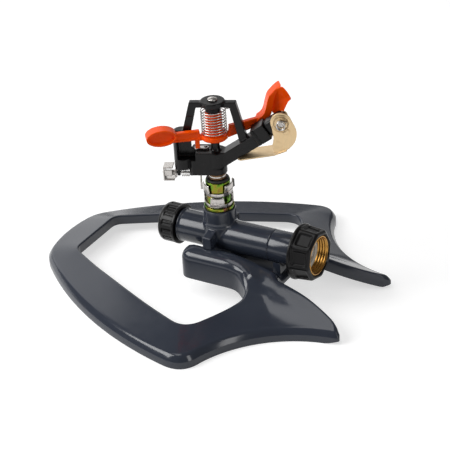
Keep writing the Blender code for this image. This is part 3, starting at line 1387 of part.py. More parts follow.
def make_trip_lever(trip, steel):
    """Stamped channel on the outer end of the wire, with a round thumb end."""
    wall = LEVER_WALL
    outer = -TRIP_REACH
    inner = outer + LEVER_LENGTH
    low, high = -LEVER_HEIGHT * 0.48, LEVER_HEIGHT * 0.52
    channel = [(outer, low), (inner, low), (inner, low + wall), (outer + wall, low + wall),
               (outer + wall, high - wall), (inner - 0.001, high - wall), (inner - 0.001, high),
               (outer, high)]
    lever = place_mesh("trip_lever", side_prism(channel, -LEVER_HALF, LEVER_HALF), steel, trip)
    inner_face = -OUTER_EYE - EYE_WIDTH / 2 - RUN
    disc = lathe([(0, inner_face - 0.0012), (0.0040, inner_face - 0.0012), (0.0040, inner_face),
                  (0, inner_face)], 20)
    disc = place_mesh("lever_disc", disc, None, trip, turn=along_x())
    sleeve = rod(0.0020, outer + wall / 2, inner_face - 0.0005, 14)
    sleeve = place_mesh("lever_sleeve", sleeve, None, trip, turn=along_x())
    add(lever, disc, sleeve)
    hole = rod(TRIP_WIRE + SEAT / 2, outer - 0.01, inner_face + 0.01, 12)
    cut(lever, place_mesh("lever_hole", hole, None, trip, turn=along_x()))
    weld(lever)


def make_trip_spring(trip, steel):
    """Wound spring on the wire between its two eyes."""
    low = -OUTER_EYE + EYE_WIDTH / 2 + SEAT + TRIP_COIL_WIRE
    high = -INNER_EYE - EYE_WIDTH / 2 - SEAT - TRIP_COIL_WIRE
    points = coil_points(TRIP_COIL, low, high, TRIP_TURNS, 90)
    first, last = Vector(points[0]), Vector(points[-1])
    lead = first + Vector((0, -0.0010, 0))
    out = last + Vector((0, 0.0010, 0))
    route = [tuple(lead)] + points + [tuple(out)]
    print("trip_spring least gap", round(least_gap(route, TRIP_COIL_WIRE) * 1000, 3), "mm")
    turned = [(z, y, -x) for x, y, z in route]
    wire("trip_spring", turned, TRIP_COIL_WIRE, steel, trip)


def make_dog(head, steel):
    """Rocker on the rear block that the trip lever sets against the arm's tab."""
    low = BLOCK_TOP + SEAT
    outline = [(-DOG_LENGTH, -0.0013), (-0.0015, -0.0022), (0.0010, -0.0020), (0.0024, 0),
               (0.0010, 0.0020), (-0.0015, 0.0022), (-DOG_LENGTH, 0.0013)]
    place = (-DOG_REACH, 0, 0)
    dog = place_mesh("trip_dog", prism(outline, low, low + DOG_THICKNESS), steel, head, place)
    hole = rod(DOG_PIN_RADIUS + RUN / 2, low - 0.01, low + 0.01, 12)
    cut(dog, place_mesh("dog_hole", hole, None, head, place))
    return low


# Assembly

def main():
    clear_scene()
    grey = material("slate_plastic", "#484b54", 0.28)
    black = material("black_plastic", "#262425", 0.45)
    orange = material("orange_plastic", "#f04a14", 0.35)
    gold = material("gold_plated_steel", "#d9b884", 0.35, 1.0)
    steel = material("bright_steel", "#b8b0ac", 0.30, 1.0)
    plated = material("zinc_chromate", "#6c8c2c", 0.30, 1.0)
    bronze = material("bronze", "#8c6a46", 0.35, 1.0)
    brass = material("brass", "#b88830", 0.30, 1.0)
    rubber = material("black_rubber", "#141414", 0.70)
    white = material("white_nylon", "#d8d4cc", 0.45)

    outline = outer_half()
    centre = (min(p.x for p in outline) + max(p.x for p in outline)) / 2
    rig = frame("head_axis", place=(-centre, 0, 0))
    line = frame("hose_line", rig, (0, 0, PIPE_HEIGHT), along_x())
    head = frame("head", rig, turn=Matrix.Rotation(math.radians(HEAD_AZIMUTH), 4, "Z"))
    barrel = frame("barrel_axis", head, (0, 0, BARREL_HEIGHT),
                   Matrix.Rotation(math.radians(-BARREL_TILT), 4, "Y"))
    arm = frame("arm_axis", head, turn=Matrix.Rotation(math.radians(ARM_AZIMUTH), 4, "Z"))
    upright = Matrix.Rotation(math.radians(BARREL_TILT), 4, "Y")
    trip = frame("trip_axis", head, (0, 0, TRIP_HEIGHT))
    pivot = frame("deflector_axis", barrel, (PIVOT_ALONG, 0, 0), upright)

    surface = make_sled(rig, grey)
    deck = make_manifold(rig, line, grey, surface)
    make_base_screws(rig, steel, deck)
    face = make_tailpiece(line, grey)
    make_coupling(line, black, brass, white, steel, face)
    make_end_cap(line, black, rubber)
    make_bearing(rig, plated, bronze, rubber, steel)
    upper = COLLARS_BOTTOM + COLLAR_HEIGHT + COLLAR_SPACING
    stop_high = upper + COLLAR_HEIGHT * 0.8
    make_collar("trip_collar_lower", rig, steel, COLLARS_BOTTOM, LOWER_COLLAR_AZIMUTH,
                LOWER_STOP_AZIMUTH, stop_high)
    make_collar("trip_collar_upper", rig, steel, upper, UPPER_COLLAR_AZIMUTH,
                UPPER_STOP_AZIMUTH, stop_high)
    make_body(head, barrel, black)
    make_nozzle(barrel, black)
    make_fulcrum_pin(head, steel)
    make_arm(arm, orange)
    make_arm_spring(head, steel)
    make_deflector(pivot, gold)
    make_studs(pivot, steel)
    make_deflector_spring(pivot, steel)
    make_trip_wire(trip, steel)
    make_trip_lever(trip, steel)
    make_trip_spring(trip, steel)
    make_dog(head, steel)


if __name__ == "__main__":
    main()
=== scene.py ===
"""Dresses the impulse sprinkler: finishes, fine forms, studio and camera."""

import math

import bmesh
import bpy
import numpy as np
from bpy.props import FloatProperty, FloatVectorProperty, IntProperty, PointerProperty
from mathutils import Matrix, Vector
from mathutils.geometry import delaunay_2d_cdt


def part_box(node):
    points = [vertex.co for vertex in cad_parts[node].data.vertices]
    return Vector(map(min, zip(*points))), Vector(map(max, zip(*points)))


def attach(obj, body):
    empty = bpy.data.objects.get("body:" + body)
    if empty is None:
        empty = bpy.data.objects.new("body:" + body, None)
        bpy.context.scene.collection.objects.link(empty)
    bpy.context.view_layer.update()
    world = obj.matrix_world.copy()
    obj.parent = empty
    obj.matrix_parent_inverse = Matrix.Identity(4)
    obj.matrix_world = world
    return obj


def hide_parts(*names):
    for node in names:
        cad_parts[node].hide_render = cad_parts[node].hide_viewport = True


bl_info = {
    "name": "Impulse Sprinkler",
    "version": (1, 0, 0),
    "blender": (4, 5, 0),
    "location": "View3D > Sidebar > Sprinkler",
    "description": "Builds an impulse sprinkler on a sled base, piece by piece",
    "category": "Object",
}

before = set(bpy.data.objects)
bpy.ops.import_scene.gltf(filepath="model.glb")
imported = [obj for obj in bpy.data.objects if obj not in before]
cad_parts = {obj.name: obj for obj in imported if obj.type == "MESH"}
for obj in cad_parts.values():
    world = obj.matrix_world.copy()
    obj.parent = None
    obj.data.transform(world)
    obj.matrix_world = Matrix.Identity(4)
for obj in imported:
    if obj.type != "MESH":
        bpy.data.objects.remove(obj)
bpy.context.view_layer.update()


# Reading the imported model

def span(part):
    """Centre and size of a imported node."""
    low, high = (Vector(corner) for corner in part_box(part))
    return (low + high) / 2, high - low


def heights(part):
    """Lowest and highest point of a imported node."""
    low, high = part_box(part)
    return low[2], high[2]


def reaches(part):
    """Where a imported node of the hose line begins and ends, from the head's axis."""
    low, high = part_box(part)
    return low[0] - AXIS_X, high[0] - AXIS_X


AXIS_X = span("bearing_nipple")[0].x
PIPE_HEIGHT = span("end_cap")[0].z
SEAT_GAP = 0.0003

# Turns of the head, the arm and the barrel, and how far out the deflector's studs sit
HEAD_TURN = math.radians(23.0)
ARM_TURN = HEAD_TURN + math.radians(16.2)
BARREL_TILT = math.radians(33.0)
PIVOT_ALONG = 0.0600

# Heights of the head's forms, from the foot of its body upwards
HEAD_LOW, DISC_TOP = heights("sprinkler_body")
TRIP_HEIGHT = HEAD_LOW + 0.0034
BODY_LOW = HEAD_LOW + 0.0042
BLOCK_LOW = HEAD_LOW + 0.0056
COLUMN_LOW = HEAD_LOW + 0.0083
BARREL_ROOT = HEAD_LOW + 0.0144
BODY_TOP = HEAD_LOW + 0.0223
BLOCK_TOP = HEAD_LOW + 0.0230
POST_TOP = HEAD_LOW + 0.0303
HUB_SEAT = HEAD_LOW + 0.0360
WEIGHT_HEIGHT = HEAD_LOW + 0.0388
COLUMN_TOP = HEAD_LOW + 0.0388
HUB_TOP = HEAD_LOW + 0.0536
BRIDGE_TOP = DISC_TOP - 0.0010
BOSS_LOW = DISC_TOP - 0.0086

# Distances from the head's axis, and half the thickness of the trip's two eyes
COLUMN_REACH = 0.0245
INNER_EYE = 0.0190
OUTER_EYE = 0.0285
TRIP_REACH = 0.0400
HALF_EYE = 0.0011
WEIGHT_REACH = 0.0396

# Places that pieces are made in: the whole, the hose line, the head, the arm, the barrel
RIG = Matrix.Translation((AXIS_X, 0, 0))
LINE = RIG @ Matrix.Translation((0, 0, PIPE_HEIGHT)) @ Matrix.Rotation(math.pi / 2, 4, "Y")
HEAD = RIG @ Matrix.Rotation(HEAD_TURN, 4, "Z")
ARM = RIG @ Matrix.Rotation(ARM_TURN, 4, "Z")
BARREL = HEAD @ Matrix.Translation((0, 0, BARREL_ROOT)) @ Matrix.Rotation(-BARREL_TILT, 4, "Y")
PIVOT = BARREL @ Matrix.Translation((PIVOT_ALONG, 0, 0)) @ Matrix.Rotation(BARREL_TILT, 4, "Y")
ALONG_X = Matrix.Rotation(math.pi / 2, 4, "Y")
ALONG_Y = Matrix.Rotation(math.pi / 2, 4, "X")


def hex_default(hex_colour):
    """An sRGB hex colour as the linear values that colour properties store."""
    parts = [int(hex_colour[i:i + 2], 16) / 255 for i in (1, 3, 5)]
    return tuple(p / 12.92 if p <= 0.04045 else ((p + 0.055) / 1.055) ** 2.4 for p in parts)


def length(name, description, default):
    """A length in metres that a user may change."""
    return FloatProperty(name=name, description=description, default=default,
                         subtype="DISTANCE", unit="LENGTH", precision=5)


def colour(name, description, hex_colour):
    """A colour that a user may change, from its sRGB hex value."""
    return FloatVectorProperty(name=name, description=description, size=3, subtype="COLOR",
                               min=0.0, max=1.0, default=hex_default(hex_colour))


# Settings

class SledSettings(bpy.types.PropertyGroup):
    """Sizes of the sled base."""

    ring_height: length("Ring height", "Height of the ring's inner edge", 0.0156)
    arm_top: length("Arm top", "Height of the arms that carry the pipe", 0.0385)
    shoulder: length("Arm shoulder", "Radius of the arms' upper edge", 0.0082)
    trough_floor: length("Trough floor", "Height of the floor between the arms", 0.0240)
    wall: length("Wall", "Thickness of the moulded wall", 0.0026)
    fineness: length("Fineness", "Spacing of the points on the curved face", 0.0030)


class HoseLineSettings(bpy.types.PropertyGroup):
    """Sizes of the pipe, the cap and the coupling."""

    pipe_radius: length("Pipe radius", "Outer radius of the pipe", 0.0124)
    bore_radius: length("Bore radius", "Inner radius of the pipe", 0.0096)
    seam: length("Seam", "Distance of the glued seam from the head's axis", 0.0460)
    cap_ribs: IntProperty(name="Cap ribs", description="Ribs round the end cap", default=14,
                          min=6, max=40)
    nut_grips: IntProperty(name="Nut grips", description="Recesses round the coupling nut",
                           default=8, min=4, max=16)
    thread_pitch: length("Thread pitch", "Pitch of the hose thread", 0.0022)


class HeadSettings(bpy.types.PropertyGroup):
    """Sizes of the turning head."""

    barrel_width: length("Barrel width", "Width of the barrel", 0.0126)
    barrel_depth: length("Barrel depth", "Depth of the barrel", 0.0132)
    barrel_length: length("Barrel length", "Length of the barrel up to the nozzle", 0.0470)
    edge: length("Moulded edge", "Size of the rounding on moulded edges", 0.0005)
    spring_turns: IntProperty(name="Spring turns", description="Turns of the arm's spring",
                              default=9, min=4, max=16)
    spring_wire: length("Spring wire", "Radius of the arm spring's wire", 0.00042)


class FinishSettings(bpy.types.PropertyGroup):
    """Colours of the finishes."""

    slate: colour("Slate", "Moulded base and pipe", "#2e333e")
    black: colour("Black", "Moulded head, cap and nut", "#0d0c0d")
    orange: colour("Orange", "Impact arm", "#fb5200")
    gold: colour("Gold", "Plated deflector", "#dfc49a")
    steel: colour("Steel", "Bright plated steel", "#c4c0bc")
    zinc: colour("Zinc", "Passivated nipple", "#5f8a2a")
    bronze: colour("Bronze", "Turned bearing parts", "#755a40")
    brass: colour("Brass", "Turned insert", "#b98a46")


class StageSettings(bpy.types.PropertyGroup):
    """Camera and light."""

    azimuth: FloatProperty(name="Azimuth", description="Camera's turn round the object",
                           default=math.radians(31.73), subtype="ANGLE")
    elevation: FloatProperty(name="Elevation", description="Camera's height angle",
                             default=math.radians(29.49), subtype="ANGLE")
    roll: FloatProperty(name="Roll", description="Camera's lean about its own axis",
                        default=math.radians(-3.85), subtype="ANGLE")
    distance: length("Distance", "Camera's distance from its target", 1.37617)
    focal: FloatProperty(name="Focal length", description="Lens on a 36 mm wide sensor",
                         default=145.85, min=20, max=400)


def settings(group):
    """The values that the sidebar holds for one group."""
    return getattr(bpy.context.scene, "sprinkler_" + group)


# Materials

def feed(tree, made, inputs):
    """Fill a node's inputs, each with a value or with a link from another node's output."""
    for key, value in inputs.items():
        if isinstance(value, bpy.types.NodeSocket):
            tree.links.new(value, made.inputs[key])
        else:
            made.inputs[key].default_value = value
    return made


def node(tree, kind, inputs=None, stops=(), **options):
    """Add a node with its options, its inputs and the (position, colour) stops of its ramp."""
    made = tree.nodes.new(kind)
    for key, value in options.items():
        setattr(made, key, value)
    steps = made.color_ramp.elements if stops else ()
    while len(steps) < len(stops):
        steps.new(0.5)
    for step, (position, value) in zip(steps, stops):
        step.position = position
        step.color = (*value, 1.0) if isinstance(value, tuple) else (value, value, value, 1.0)
    return feed(tree, made, inputs or {})


def new_material(name):
    """A material with its node tree and its shader."""
    made = bpy.data.materials.new(name)
    made.use_nodes = True
    return made, made.node_tree, made.node_tree.nodes["Principled BSDF"]


def tinted(tree, base, low, high, mask):
    """The base colour, multiplied between two greys by a mask."""
    shade = node(tree, "ShaderNodeValToRGB", {"Fac": mask}, [(0.0, low), (1.0, high)])
    mix = node(tree, "ShaderNodeMix",
               {"Factor": 1.0, 6: (*base, 1.0), 7: shade.outputs["Color"]},
               data_type="RGBA", blend_type="MULTIPLY")
    return mix.outputs[2]


def moulded_plastic(name, base, gloss, grain_mm, grain_depth, shine=0.5):
    """Injection-moulded polymer: an even colour, faint flow marks and rubbed gloss.

    The skin copies the mould, so it shines on broad faces and dulls where it is handled. A
    mould with a spark-eroded face leaves pits that swallow part of the shine. The eroded
    grain of a real mould is 0.05 to 0.2 mm, too fine to show, and is drawn coarser.
    """
    made, tree, shader = new_material(name)
    point = node(tree, "ShaderNodeTexCoord").outputs["Object"]
    # Flow marks lie some 36 mm apart, and hands rub patches about 8 mm wide
    flow = node(tree, "ShaderNodeTexNoise", {"Vector": point, "Scale": 28.0, "Detail": 3.0})
    rub = node(tree, "ShaderNodeTexNoise", {"Vector": point, "Scale": 130.0, "Detail": 5.0})
    grain = node(tree, "ShaderNodeTexNoise",
                 {"Vector": point, "Scale": 1000.0 / grain_mm, "Detail": 2.0})
    dull = node(tree, "ShaderNodeValToRGB", {"Fac": rub.outputs["Fac"]},
                [(0.30, gloss * 0.86), (0.72, gloss * 1.22)])
    bump = node(tree, "ShaderNodeBump", {"Height": grain.outputs["Fac"],
                                         "Strength": grain_depth, "Distance": 0.0001})
    feed(tree, shader, {"Base Color": tinted(tree, base, 0.90, 1.06, flow.outputs["Fac"]),
                        "Roughness": dull.outputs["Color"], "Normal": bump.outputs["Normal"],
                        "IOR": 1.49, "Specular IOR Level": shine})
    return made


def metal(name, base, gloss, scratch_mm, stretch, stain=0.0, stain_colour=(0.2, 0.15, 0.1)):
    """Worked metal: fine tool or rolling marks along one way, with faint tarnish.

    The marks stretch the highlights along the way that the tool or the roll went. Real ones
    are 0.02 to 0.1 mm apart, and are drawn coarser so that they show.
    """
    made, tree, shader = new_material(name)
    point = node(tree, "ShaderNodeTexCoord").outputs["Object"]
    drawn = node(tree, "ShaderNodeMapping", {"Vector": point, "Scale": stretch})
    marks = node(tree, "ShaderNodeTexNoise", {"Vector": drawn.outputs["Vector"],
                                              "Scale": 1000.0 / scratch_mm, "Detail": 4.0})
    # Tarnish gathers in clouds about 5 mm wide
    cloud = node(tree, "ShaderNodeTexNoise", {"Vector": point, "Scale": 190.0, "Detail": 4.0})
    spots = node(tree, "ShaderNodeValToRGB", {"Fac": cloud.outputs["Fac"]},
                 [(0.52, 0.0), (0.70, stain)])
    mix = node(tree, "ShaderNodeMix", {
        "Factor": spots.outputs["Color"], 6: tinted(tree, base, 0.82, 1.08, marks.outputs["Fac"]),
        7: (*stain_colour, 1.0)}, data_type="RGBA")
    dull = node(tree, "ShaderNodeValToRGB", {"Fac": marks.outputs["Fac"]},
                [(0.25, gloss * 0.75), (0.75, gloss * 1.35)])
    bump = node(tree, "ShaderNodeBump", {"Height": marks.outputs["Fac"], "Strength": 0.12,
                                         "Distance": 0.0001})
    feed(tree, shader, {"Base Color": mix.outputs[2], "Roughness": dull.outputs["Color"],
                        "Normal": bump.outputs["Normal"], "Metallic": 1.0})
    return made


def passivated_zinc(name, base):
    """Yellow chromate on zinc: a thin film whose colour drifts from green to gold and rose.

    The film's thickness drifts over about 7 mm. Its crystals, drawn at 0.6 mm, are finer.
    """
    made, tree, shader = new_material(name)
    point = node(tree, "ShaderNodeTexCoord").outputs["Object"]
    film = node(tree, "ShaderNodeTexNoise", {"Vector": point, "Scale": 150.0, "Detail": 3.0,
                                             "Distortion": 0.6})
    tone = node(tree, "ShaderNodeValToRGB", {"Fac": film.outputs["Fac"]},
                [(0.34, hex_default("#23330f")), (0.46, base), (0.56, hex_default("#8c8232")),
                 (0.68, hex_default("#6b4438"))])
    fine = node(tree, "ShaderNodeTexNoise", {"Vector": point, "Scale": 1800.0, "Detail": 2.0})
    dull = node(tree, "ShaderNodeValToRGB", {"Fac": fine.outputs["Fac"]},
                [(0.3, 0.14), (0.7, 0.26)])
    feed(tree, shader, {"Base Color": tone.outputs["Color"], "Roughness": dull.outputs["Color"],
                        "Metallic": 1.0})
    return made


def moulded_seal(name, hex_colour, rough):
    """Moulded seal rubber or nylon: dull, with a powdery texture, drawn at 0.4 mm to show."""
    made, tree, shader = new_material(name)
    point = node(tree, "ShaderNodeTexCoord").outputs["Object"]
    fine = node(tree, "ShaderNodeTexNoise", {"Vector": point, "Scale": 2500.0, "Detail": 3.0})
    bump = node(tree, "ShaderNodeBump", {"Height": fine.outputs["Fac"], "Strength": 0.25,
                                         "Distance": 0.0001})
    tone = tinted(tree, hex_default(hex_colour), 0.85, 1.1, fine.outputs["Fac"])
    feed(tree, shader, {"Base Color": tone, "Normal": bump.outputs["Normal"],
                        "Roughness": rough, "IOR": 1.52})
    return made


FINISHES = {}


def make_finishes():
    """Every finish of the sprinkler, by name."""
    tone = settings("finish")
    FINISHES.update({
        "slate": moulded_plastic("slate_polypropylene", tuple(tone.slate), 0.15, 1.6, 0.010),
        "black": moulded_plastic("black_nylon", tuple(tone.black), 0.30, 0.5, 0.10, 0.26),
        "orange": moulded_plastic("orange_acetal", tuple(tone.orange), 0.30, 0.9, 0.05, 0.15),
        "gold": metal("gold_plated_sheet", tuple(tone.gold), 0.38, 1.6, (1, 1, 0.35), 0.04,
                      hex_default("#b08850")),
        "steel": metal("bright_rolled_steel", tuple(tone.steel), 0.24, 0.5, (1, 1, 0.2), 0.35,
                       hex_default("#6e6058")),
        "wire": metal("drawn_spring_wire", tuple(tone.steel), 0.20, 0.4, (1, 1, 0.5)),
        "bronze": metal("turned_bronze", tuple(tone.bronze), 0.28, 0.3, (0.3, 0.3, 3.0), 0.4,
                        hex_default("#4a3424")),
        "brass": metal("turned_brass", tuple(tone.brass), 0.22, 0.3, (3.0, 0.3, 0.3), 0.2,
                       hex_default("#8a5a1c")),
        "zinc": passivated_zinc("passivated_zinc", tuple(tone.zinc)),
        "rubber": moulded_seal("nitrile_rubber", "#161616", 0.62),
        "nylon": moulded_seal("natural_nylon", "#d6d1c6", 0.42),
    })


# Turning shapes into finished pieces

def finish_piece(name, shape, place, finish, body, part, smooth=35.0):
    """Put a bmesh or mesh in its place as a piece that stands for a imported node."""
    if isinstance(shape, bmesh.types.BMesh):
        mesh = bpy.data.meshes.new(name)
        bmesh.ops.remove_doubles(shape, verts=shape.verts, dist=1e-7)
        bmesh.ops.recalc_face_normals(shape, faces=shape.faces)
        shape.to_mesh(mesh)
        shape.free()
    else:
        mesh = shape
        mesh.name = name
    mesh.transform(place)
    mesh.shade_smooth()
    mesh.set_sharp_from_angle(angle=math.radians(smooth))
    mesh.materials.clear()
    mesh.materials.append(FINISHES[finish])
    made = bpy.data.objects.new(name, mesh)
    bpy.context.scene.collection.objects.link(made)
    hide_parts(part)
    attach(made, body)


def evaluated_mesh(made):
    """The mesh of an object with its modifiers, the object itself being removed."""
    graph = bpy.context.evaluated_depsgraph_get()
    graph.update()
    mesh = bpy.data.meshes.new_from_object(made.evaluated_get(graph))
    bpy.data.objects.remove(made)
    return mesh


def shape_of(mesh):
    """A mesh as a bmesh, the mesh itself being removed."""
    shape = bmesh.new()
    shape.from_mesh(mesh)
    bpy.data.meshes.remove(mesh)
    return shape


def placed(item):
    """A bmesh and its place, from such a pair or from a bmesh that is in place."""
    return item if isinstance(item, tuple) else (item, Matrix())


def temporary(item):
    """An object that holds a bmesh only while it is being worked on."""
    shape, place = placed(item)
    mesh = bpy.data.meshes.new("work")
    bmesh.ops.recalc_face_normals(shape, faces=shape.faces)
    shape.to_mesh(mesh)
    shape.free()
    mesh.transform(place)
    made = bpy.data.objects.new("work", mesh)
    bpy.context.scene.collection.objects.link(made)
    return made


def combined(parts, cuts, finishing=None, crossing=False):
    """Mesh of fused parts with cuts taken away, after the finishing modifiers.

    It is crossing where one cut is made of parts that run through each other.
    """
    whole = temporary(parts[0])
    others = [(temporary(item), "UNION") for item in parts[1:]]
    others += [(temporary(item), "DIFFERENCE") for item in cuts]
    for other, operation in others:
        step = whole.modifiers.new("fuse", "BOOLEAN")
        step.operation = operation
        step.solver = "EXACT"
        step.use_self = crossing
        step.object = other
    if finishing:
        finishing(whole)
    mesh = evaluated_mesh(whole)
    for other, _ in others:
        bpy.data.objects.remove(other)
    return mesh


def moulded(parts, cuts, grain, softening):
    """Fuse parts, cut others away, and round every edge as a mould does.

    Each part is a bmesh or a pair of bmesh and place. The fused shape is remeshed in even
    small faces and smoothed a little, which leaves fillets about as wide as the grain.
    """
    def skin(whole):
        """Cover the fused shape with even small faces and soften them."""
        remesh = whole.modifiers.new("skin", "REMESH")
        remesh.mode = "VOXEL"
        remesh.voxel_size = grain
        remesh.use_smooth_shade = True
        soften = whole.modifiers.new("soften", "SMOOTH")
        soften.factor = 0.5
        soften.iterations = softening

    return combined(parts, cuts, skin)


def difference(shape, *cuts):
    """A bmesh with others cut away from it."""
    return shape_of(combined([shape], cuts))


def bevelled(shape, width, segments, edges=None):
    """A bmesh with some of its edges rounded, or all of them."""
    bmesh.ops.bevel(shape, geom=edges or shape.edges[:], offset=width, segments=segments,
                    profile=0.5, affect="EDGES", clamp_overlap=True)
    return shape


def ring(shape, radius, height, steps):
    """New points round Z, or one point on it."""
    angles = [math.tau * i / steps for i in range(1 if radius < 1e-7 else steps)]
    return [shape.verts.new((radius * math.cos(a), radius * math.sin(a), height))
            for a in angles]


def wrap(shape, rings):
    """Faces between each ring of points and the next one."""
    for here, following in zip(rings, rings[1:]):
        steps = max(len(here), len(following))
        for i in range(steps if steps > 1 else 0):
            j = (i + 1) % steps
            corners = [here[i % len(here)], here[j % len(here)],
                       following[j % len(following)], following[i % len(following)]]
            shape.faces.new(list(dict.fromkeys(corners)))


def lathe(section, steps=96):
    """Turn a closed section of (radius, height) points about Z."""
    shape = bmesh.new()
    rings = [ring(shape, radius, height, steps) for radius, height in section]
    wrap(shape, rings + rings[:1])
    return shape


def sheet_between(shape, back, front):
    """Faces on two grids of points, and a wall that joins them all round."""
    rows, columns = len(back) - 1, len(back[0]) - 1
    for r in range(rows):
        for c in range(columns):
            for grid in (back, front):
                shape.faces.new((grid[r][c], grid[r][c + 1], grid[r + 1][c + 1], grid[r + 1][c]))
        for c in (0, columns):
            shape.faces.new((back[r][c], back[r + 1][c], front[r + 1][c], front[r][c]))
    for r in (0, rows):
        for c in range(columns):
            shape.faces.new((back[r][c], back[r][c + 1], front[r][c + 1], front[r][c]))
    bmesh.ops.recalc_face_normals(shape, faces=shape.faces)


def around(centre, reach, start, end, steps):
    """Points on a circle or an ellipse, from one angle in degrees to another."""
    angles = [math.radians(start + (end - start) * k / steps) for k in range(steps + 1)]
    return [(centre[0] + reach[0] * math.cos(a), centre[1] + reach[1] * math.sin(a))
            for a in angles]


def curved(points, steps):
    """A smooth path through points."""
    points = [Vector(p) for p in points]
    points = [points[0] * 2 - points[1]] + points + [points[-1] * 2 - points[-2]]
    path = []
    for a, b, c, d in zip(points, points[1:], points[2:], points[3:]):
        for k in range(steps):
            t = k / steps
            path.append(0.5 * ((2 * b) + (c - a) * t + (2 * a - 5 * b + 4 * c - d) * t * t
                               + (3 * b - a - 3 * c + d) * t ** 3))
    path.append(points[-2])
    return path


def smooth_path(points, steps=4):
    """A smooth outline through points, as plain pairs."""
    return [tuple(p) for p in curved(points, steps)]


def rounded(section, radius, steps=4):
    """Round the corners of a section or outline, given as one radius or one for each."""
    count = len(section)
    radii = radius if isinstance(radius, (list, tuple)) else [radius] * count
    points = []
    for i, here in enumerate(section):
        here = Vector(here)
        before, after = Vector(section[i - 1]), Vector(section[(i + 1) % count])
        back, ahead = before - here, after - here
        trim = min(radii[i], back.length * 0.45, ahead.length * 0.45)
        if trim < 1e-6:
            points.append(tuple(here))
            continue
        first, last = here + back.normalized() * trim, here + ahead.normalized() * trim
        for k in range(steps + 1):
            t = k / steps
            points.append(tuple(first * (1 - t) ** 2 + here * 2 * t * (1 - t) + last * t * t))
    return points


def turned(section, edge=0.0003, steps=96):
    """A turned piece whose section has its outer corners rounded."""
    radii = [0.0 if r < 1e-7 else edge for r, _ in section]
    return lathe(rounded(section, radii), steps)


def prism(outline, low, high):
    """Extrude a plan outline from one height to another."""
    shape = bmesh.new()
    bottom = [shape.verts.new((x, y, low)) for x, y in outline]
    top = [shape.verts.new((x, y, high)) for x, y in outline]
    shape.faces.new(bottom)
    shape.faces.new(top)
    count = len(outline)
    for i in range(count):
        j = (i + 1) % count
        shape.faces.new((bottom[i], bottom[j], top[j], top[i]))
    return shape


def side_prism(outline, near, far):
    """Extrude a side outline of (along, height) points across the Y direction."""
    shape = prism(outline, near, far)
    for vert in shape.verts:
        x, z, y = vert.co
        vert.co = (x, y, z)
    return shape


def box(size, centre=(0, 0, 0)):
    """A block of a size about a centre."""
    shape = bmesh.new()
    bmesh.ops.create_cube(shape, size=1.0)
    bmesh.ops.scale(shape, vec=size, verts=shape.verts)
    bmesh.ops.translate(shape, vec=centre, verts=shape.verts)
    return shape


def stepped(inner, low, *steps):
    """Section of a ring from its lower end, each step of its outside being (radius, top)."""
    section = [(inner, low)]
    for radius, top in steps:
        section += [(radius, section[-1][1]), (radius, top)]
    return section + [(inner, section[-1][1])]


def rod(radius, low, high, steps=64):
    """A round rod about Z."""
    return lathe(stepped(0, low, (radius, high)), steps)


def joined(*items):
    """Several bmeshes as one, each given alone or with its place."""
    whole = bmesh.new()
    for shape, place in map(placed, items):
        copies = {v: whole.verts.new(place @ v.co) for v in shape.verts}
        for face in shape.faces:
            whole.faces.new([copies[v] for v in face.verts])
        shape.free()
    return whole


def smoothstep(low, high, value):
    """0 below low, 1 above high, and an even sweep between them."""
    t = np.clip((value - low) / (high - low), 0.0, 1.0)
    return t * t * (3 - 2 * t)


def between(ends, share):
    """The value at a share of the way from one end to the other."""
    return ends[0] + (ends[1] - ends[0]) * share


# Sled base

# Where the tails begin and end, and how high the ridge is at their tips. The rim's rounding
# ends at the crease, which lies this far in and this high.
TAIL_REACH = 0.1215
TAIL_TIP_HEIGHT = 0.0110
TAIL_START = 0.0200
RIM_HEIGHT = 0.0054
CREASE_HEIGHT = 0.0105
CREASE = 0.0045

# Plans of one side from nose to tail: corners, then the bow and the count of points of each
# run between them, then how far each corner is trimmed to round it
OUTER_PLAN = ([(-0.1470, 0), (-0.1415, 0.0340), (0.0370, 0.1244), (TAIL_REACH, 0.0455),
               (0.1192, 0.0392), (0.0580, 0.0215), (0.0580, 0)],
              [(0.0014, 12), (0.0158, 60), (-0.0207, 44), (0, 4), (0.0034, 26), (0, 8)],
              [0.009, 0.018, (0.0085, 0.0032), (0.0032, 0.0075), 0.005])
INNER_PLAN = ([(-0.1170, 0), (-0.1170, 0.0275), (0.0195, 0.0910), (0.0450, 0.0410),
               (0.0300, 0.0310), (-0.0210, 0.0310), (-0.0210, 0)],
              [(0, 9), (0.0034, 50), (0, 18), (0, 6), (0, 16), (0, 10)],
              [0.006, 0.014, 0.009, 0.005, 0.010])

# Where the ring rises into the arms, how wide their flat tops are there and at the tails,
# and over what distance the flanks fall off
RISE = (-0.090, -0.030)
FLAT_TOP = (0.031, 0.0455)
FLANK_FALL = (0.0105, 0.0160)

# The trough between the arms: its two ends, and where its flanks stand off the middle
TROUGH_ENDS = (-0.022, 0.059)
TROUGH_FLANK = (0.0115, 0.0190)
LEAST_SHOULDER = 0.0015

# How deep the inner wall's foot lies under the ridge at the ring and at the tails
RING_DEPTH = 0.0081
TAIL_DEPTH = 0.0112

# Feet of the pipe, which stand on the arms
LUG_SPACING = 0.0192
LUG_WIDTH = 0.0060

# Depths at which the plan has rows of points beside its outer and its inner edge
OUTER_ROWS = (0.0003, 0.0009, 0.0017, 0.0036, CREASE, 0.0054)
INNER_ROWS = (0.0002, 0.0006, 0.0012, 0.0019, 0.0036)

# The even grid of points starts this far in, and a longer step is no edge of the plan
EDGE_ZONE = 0.0062
LONGEST_EDGE = 0.012


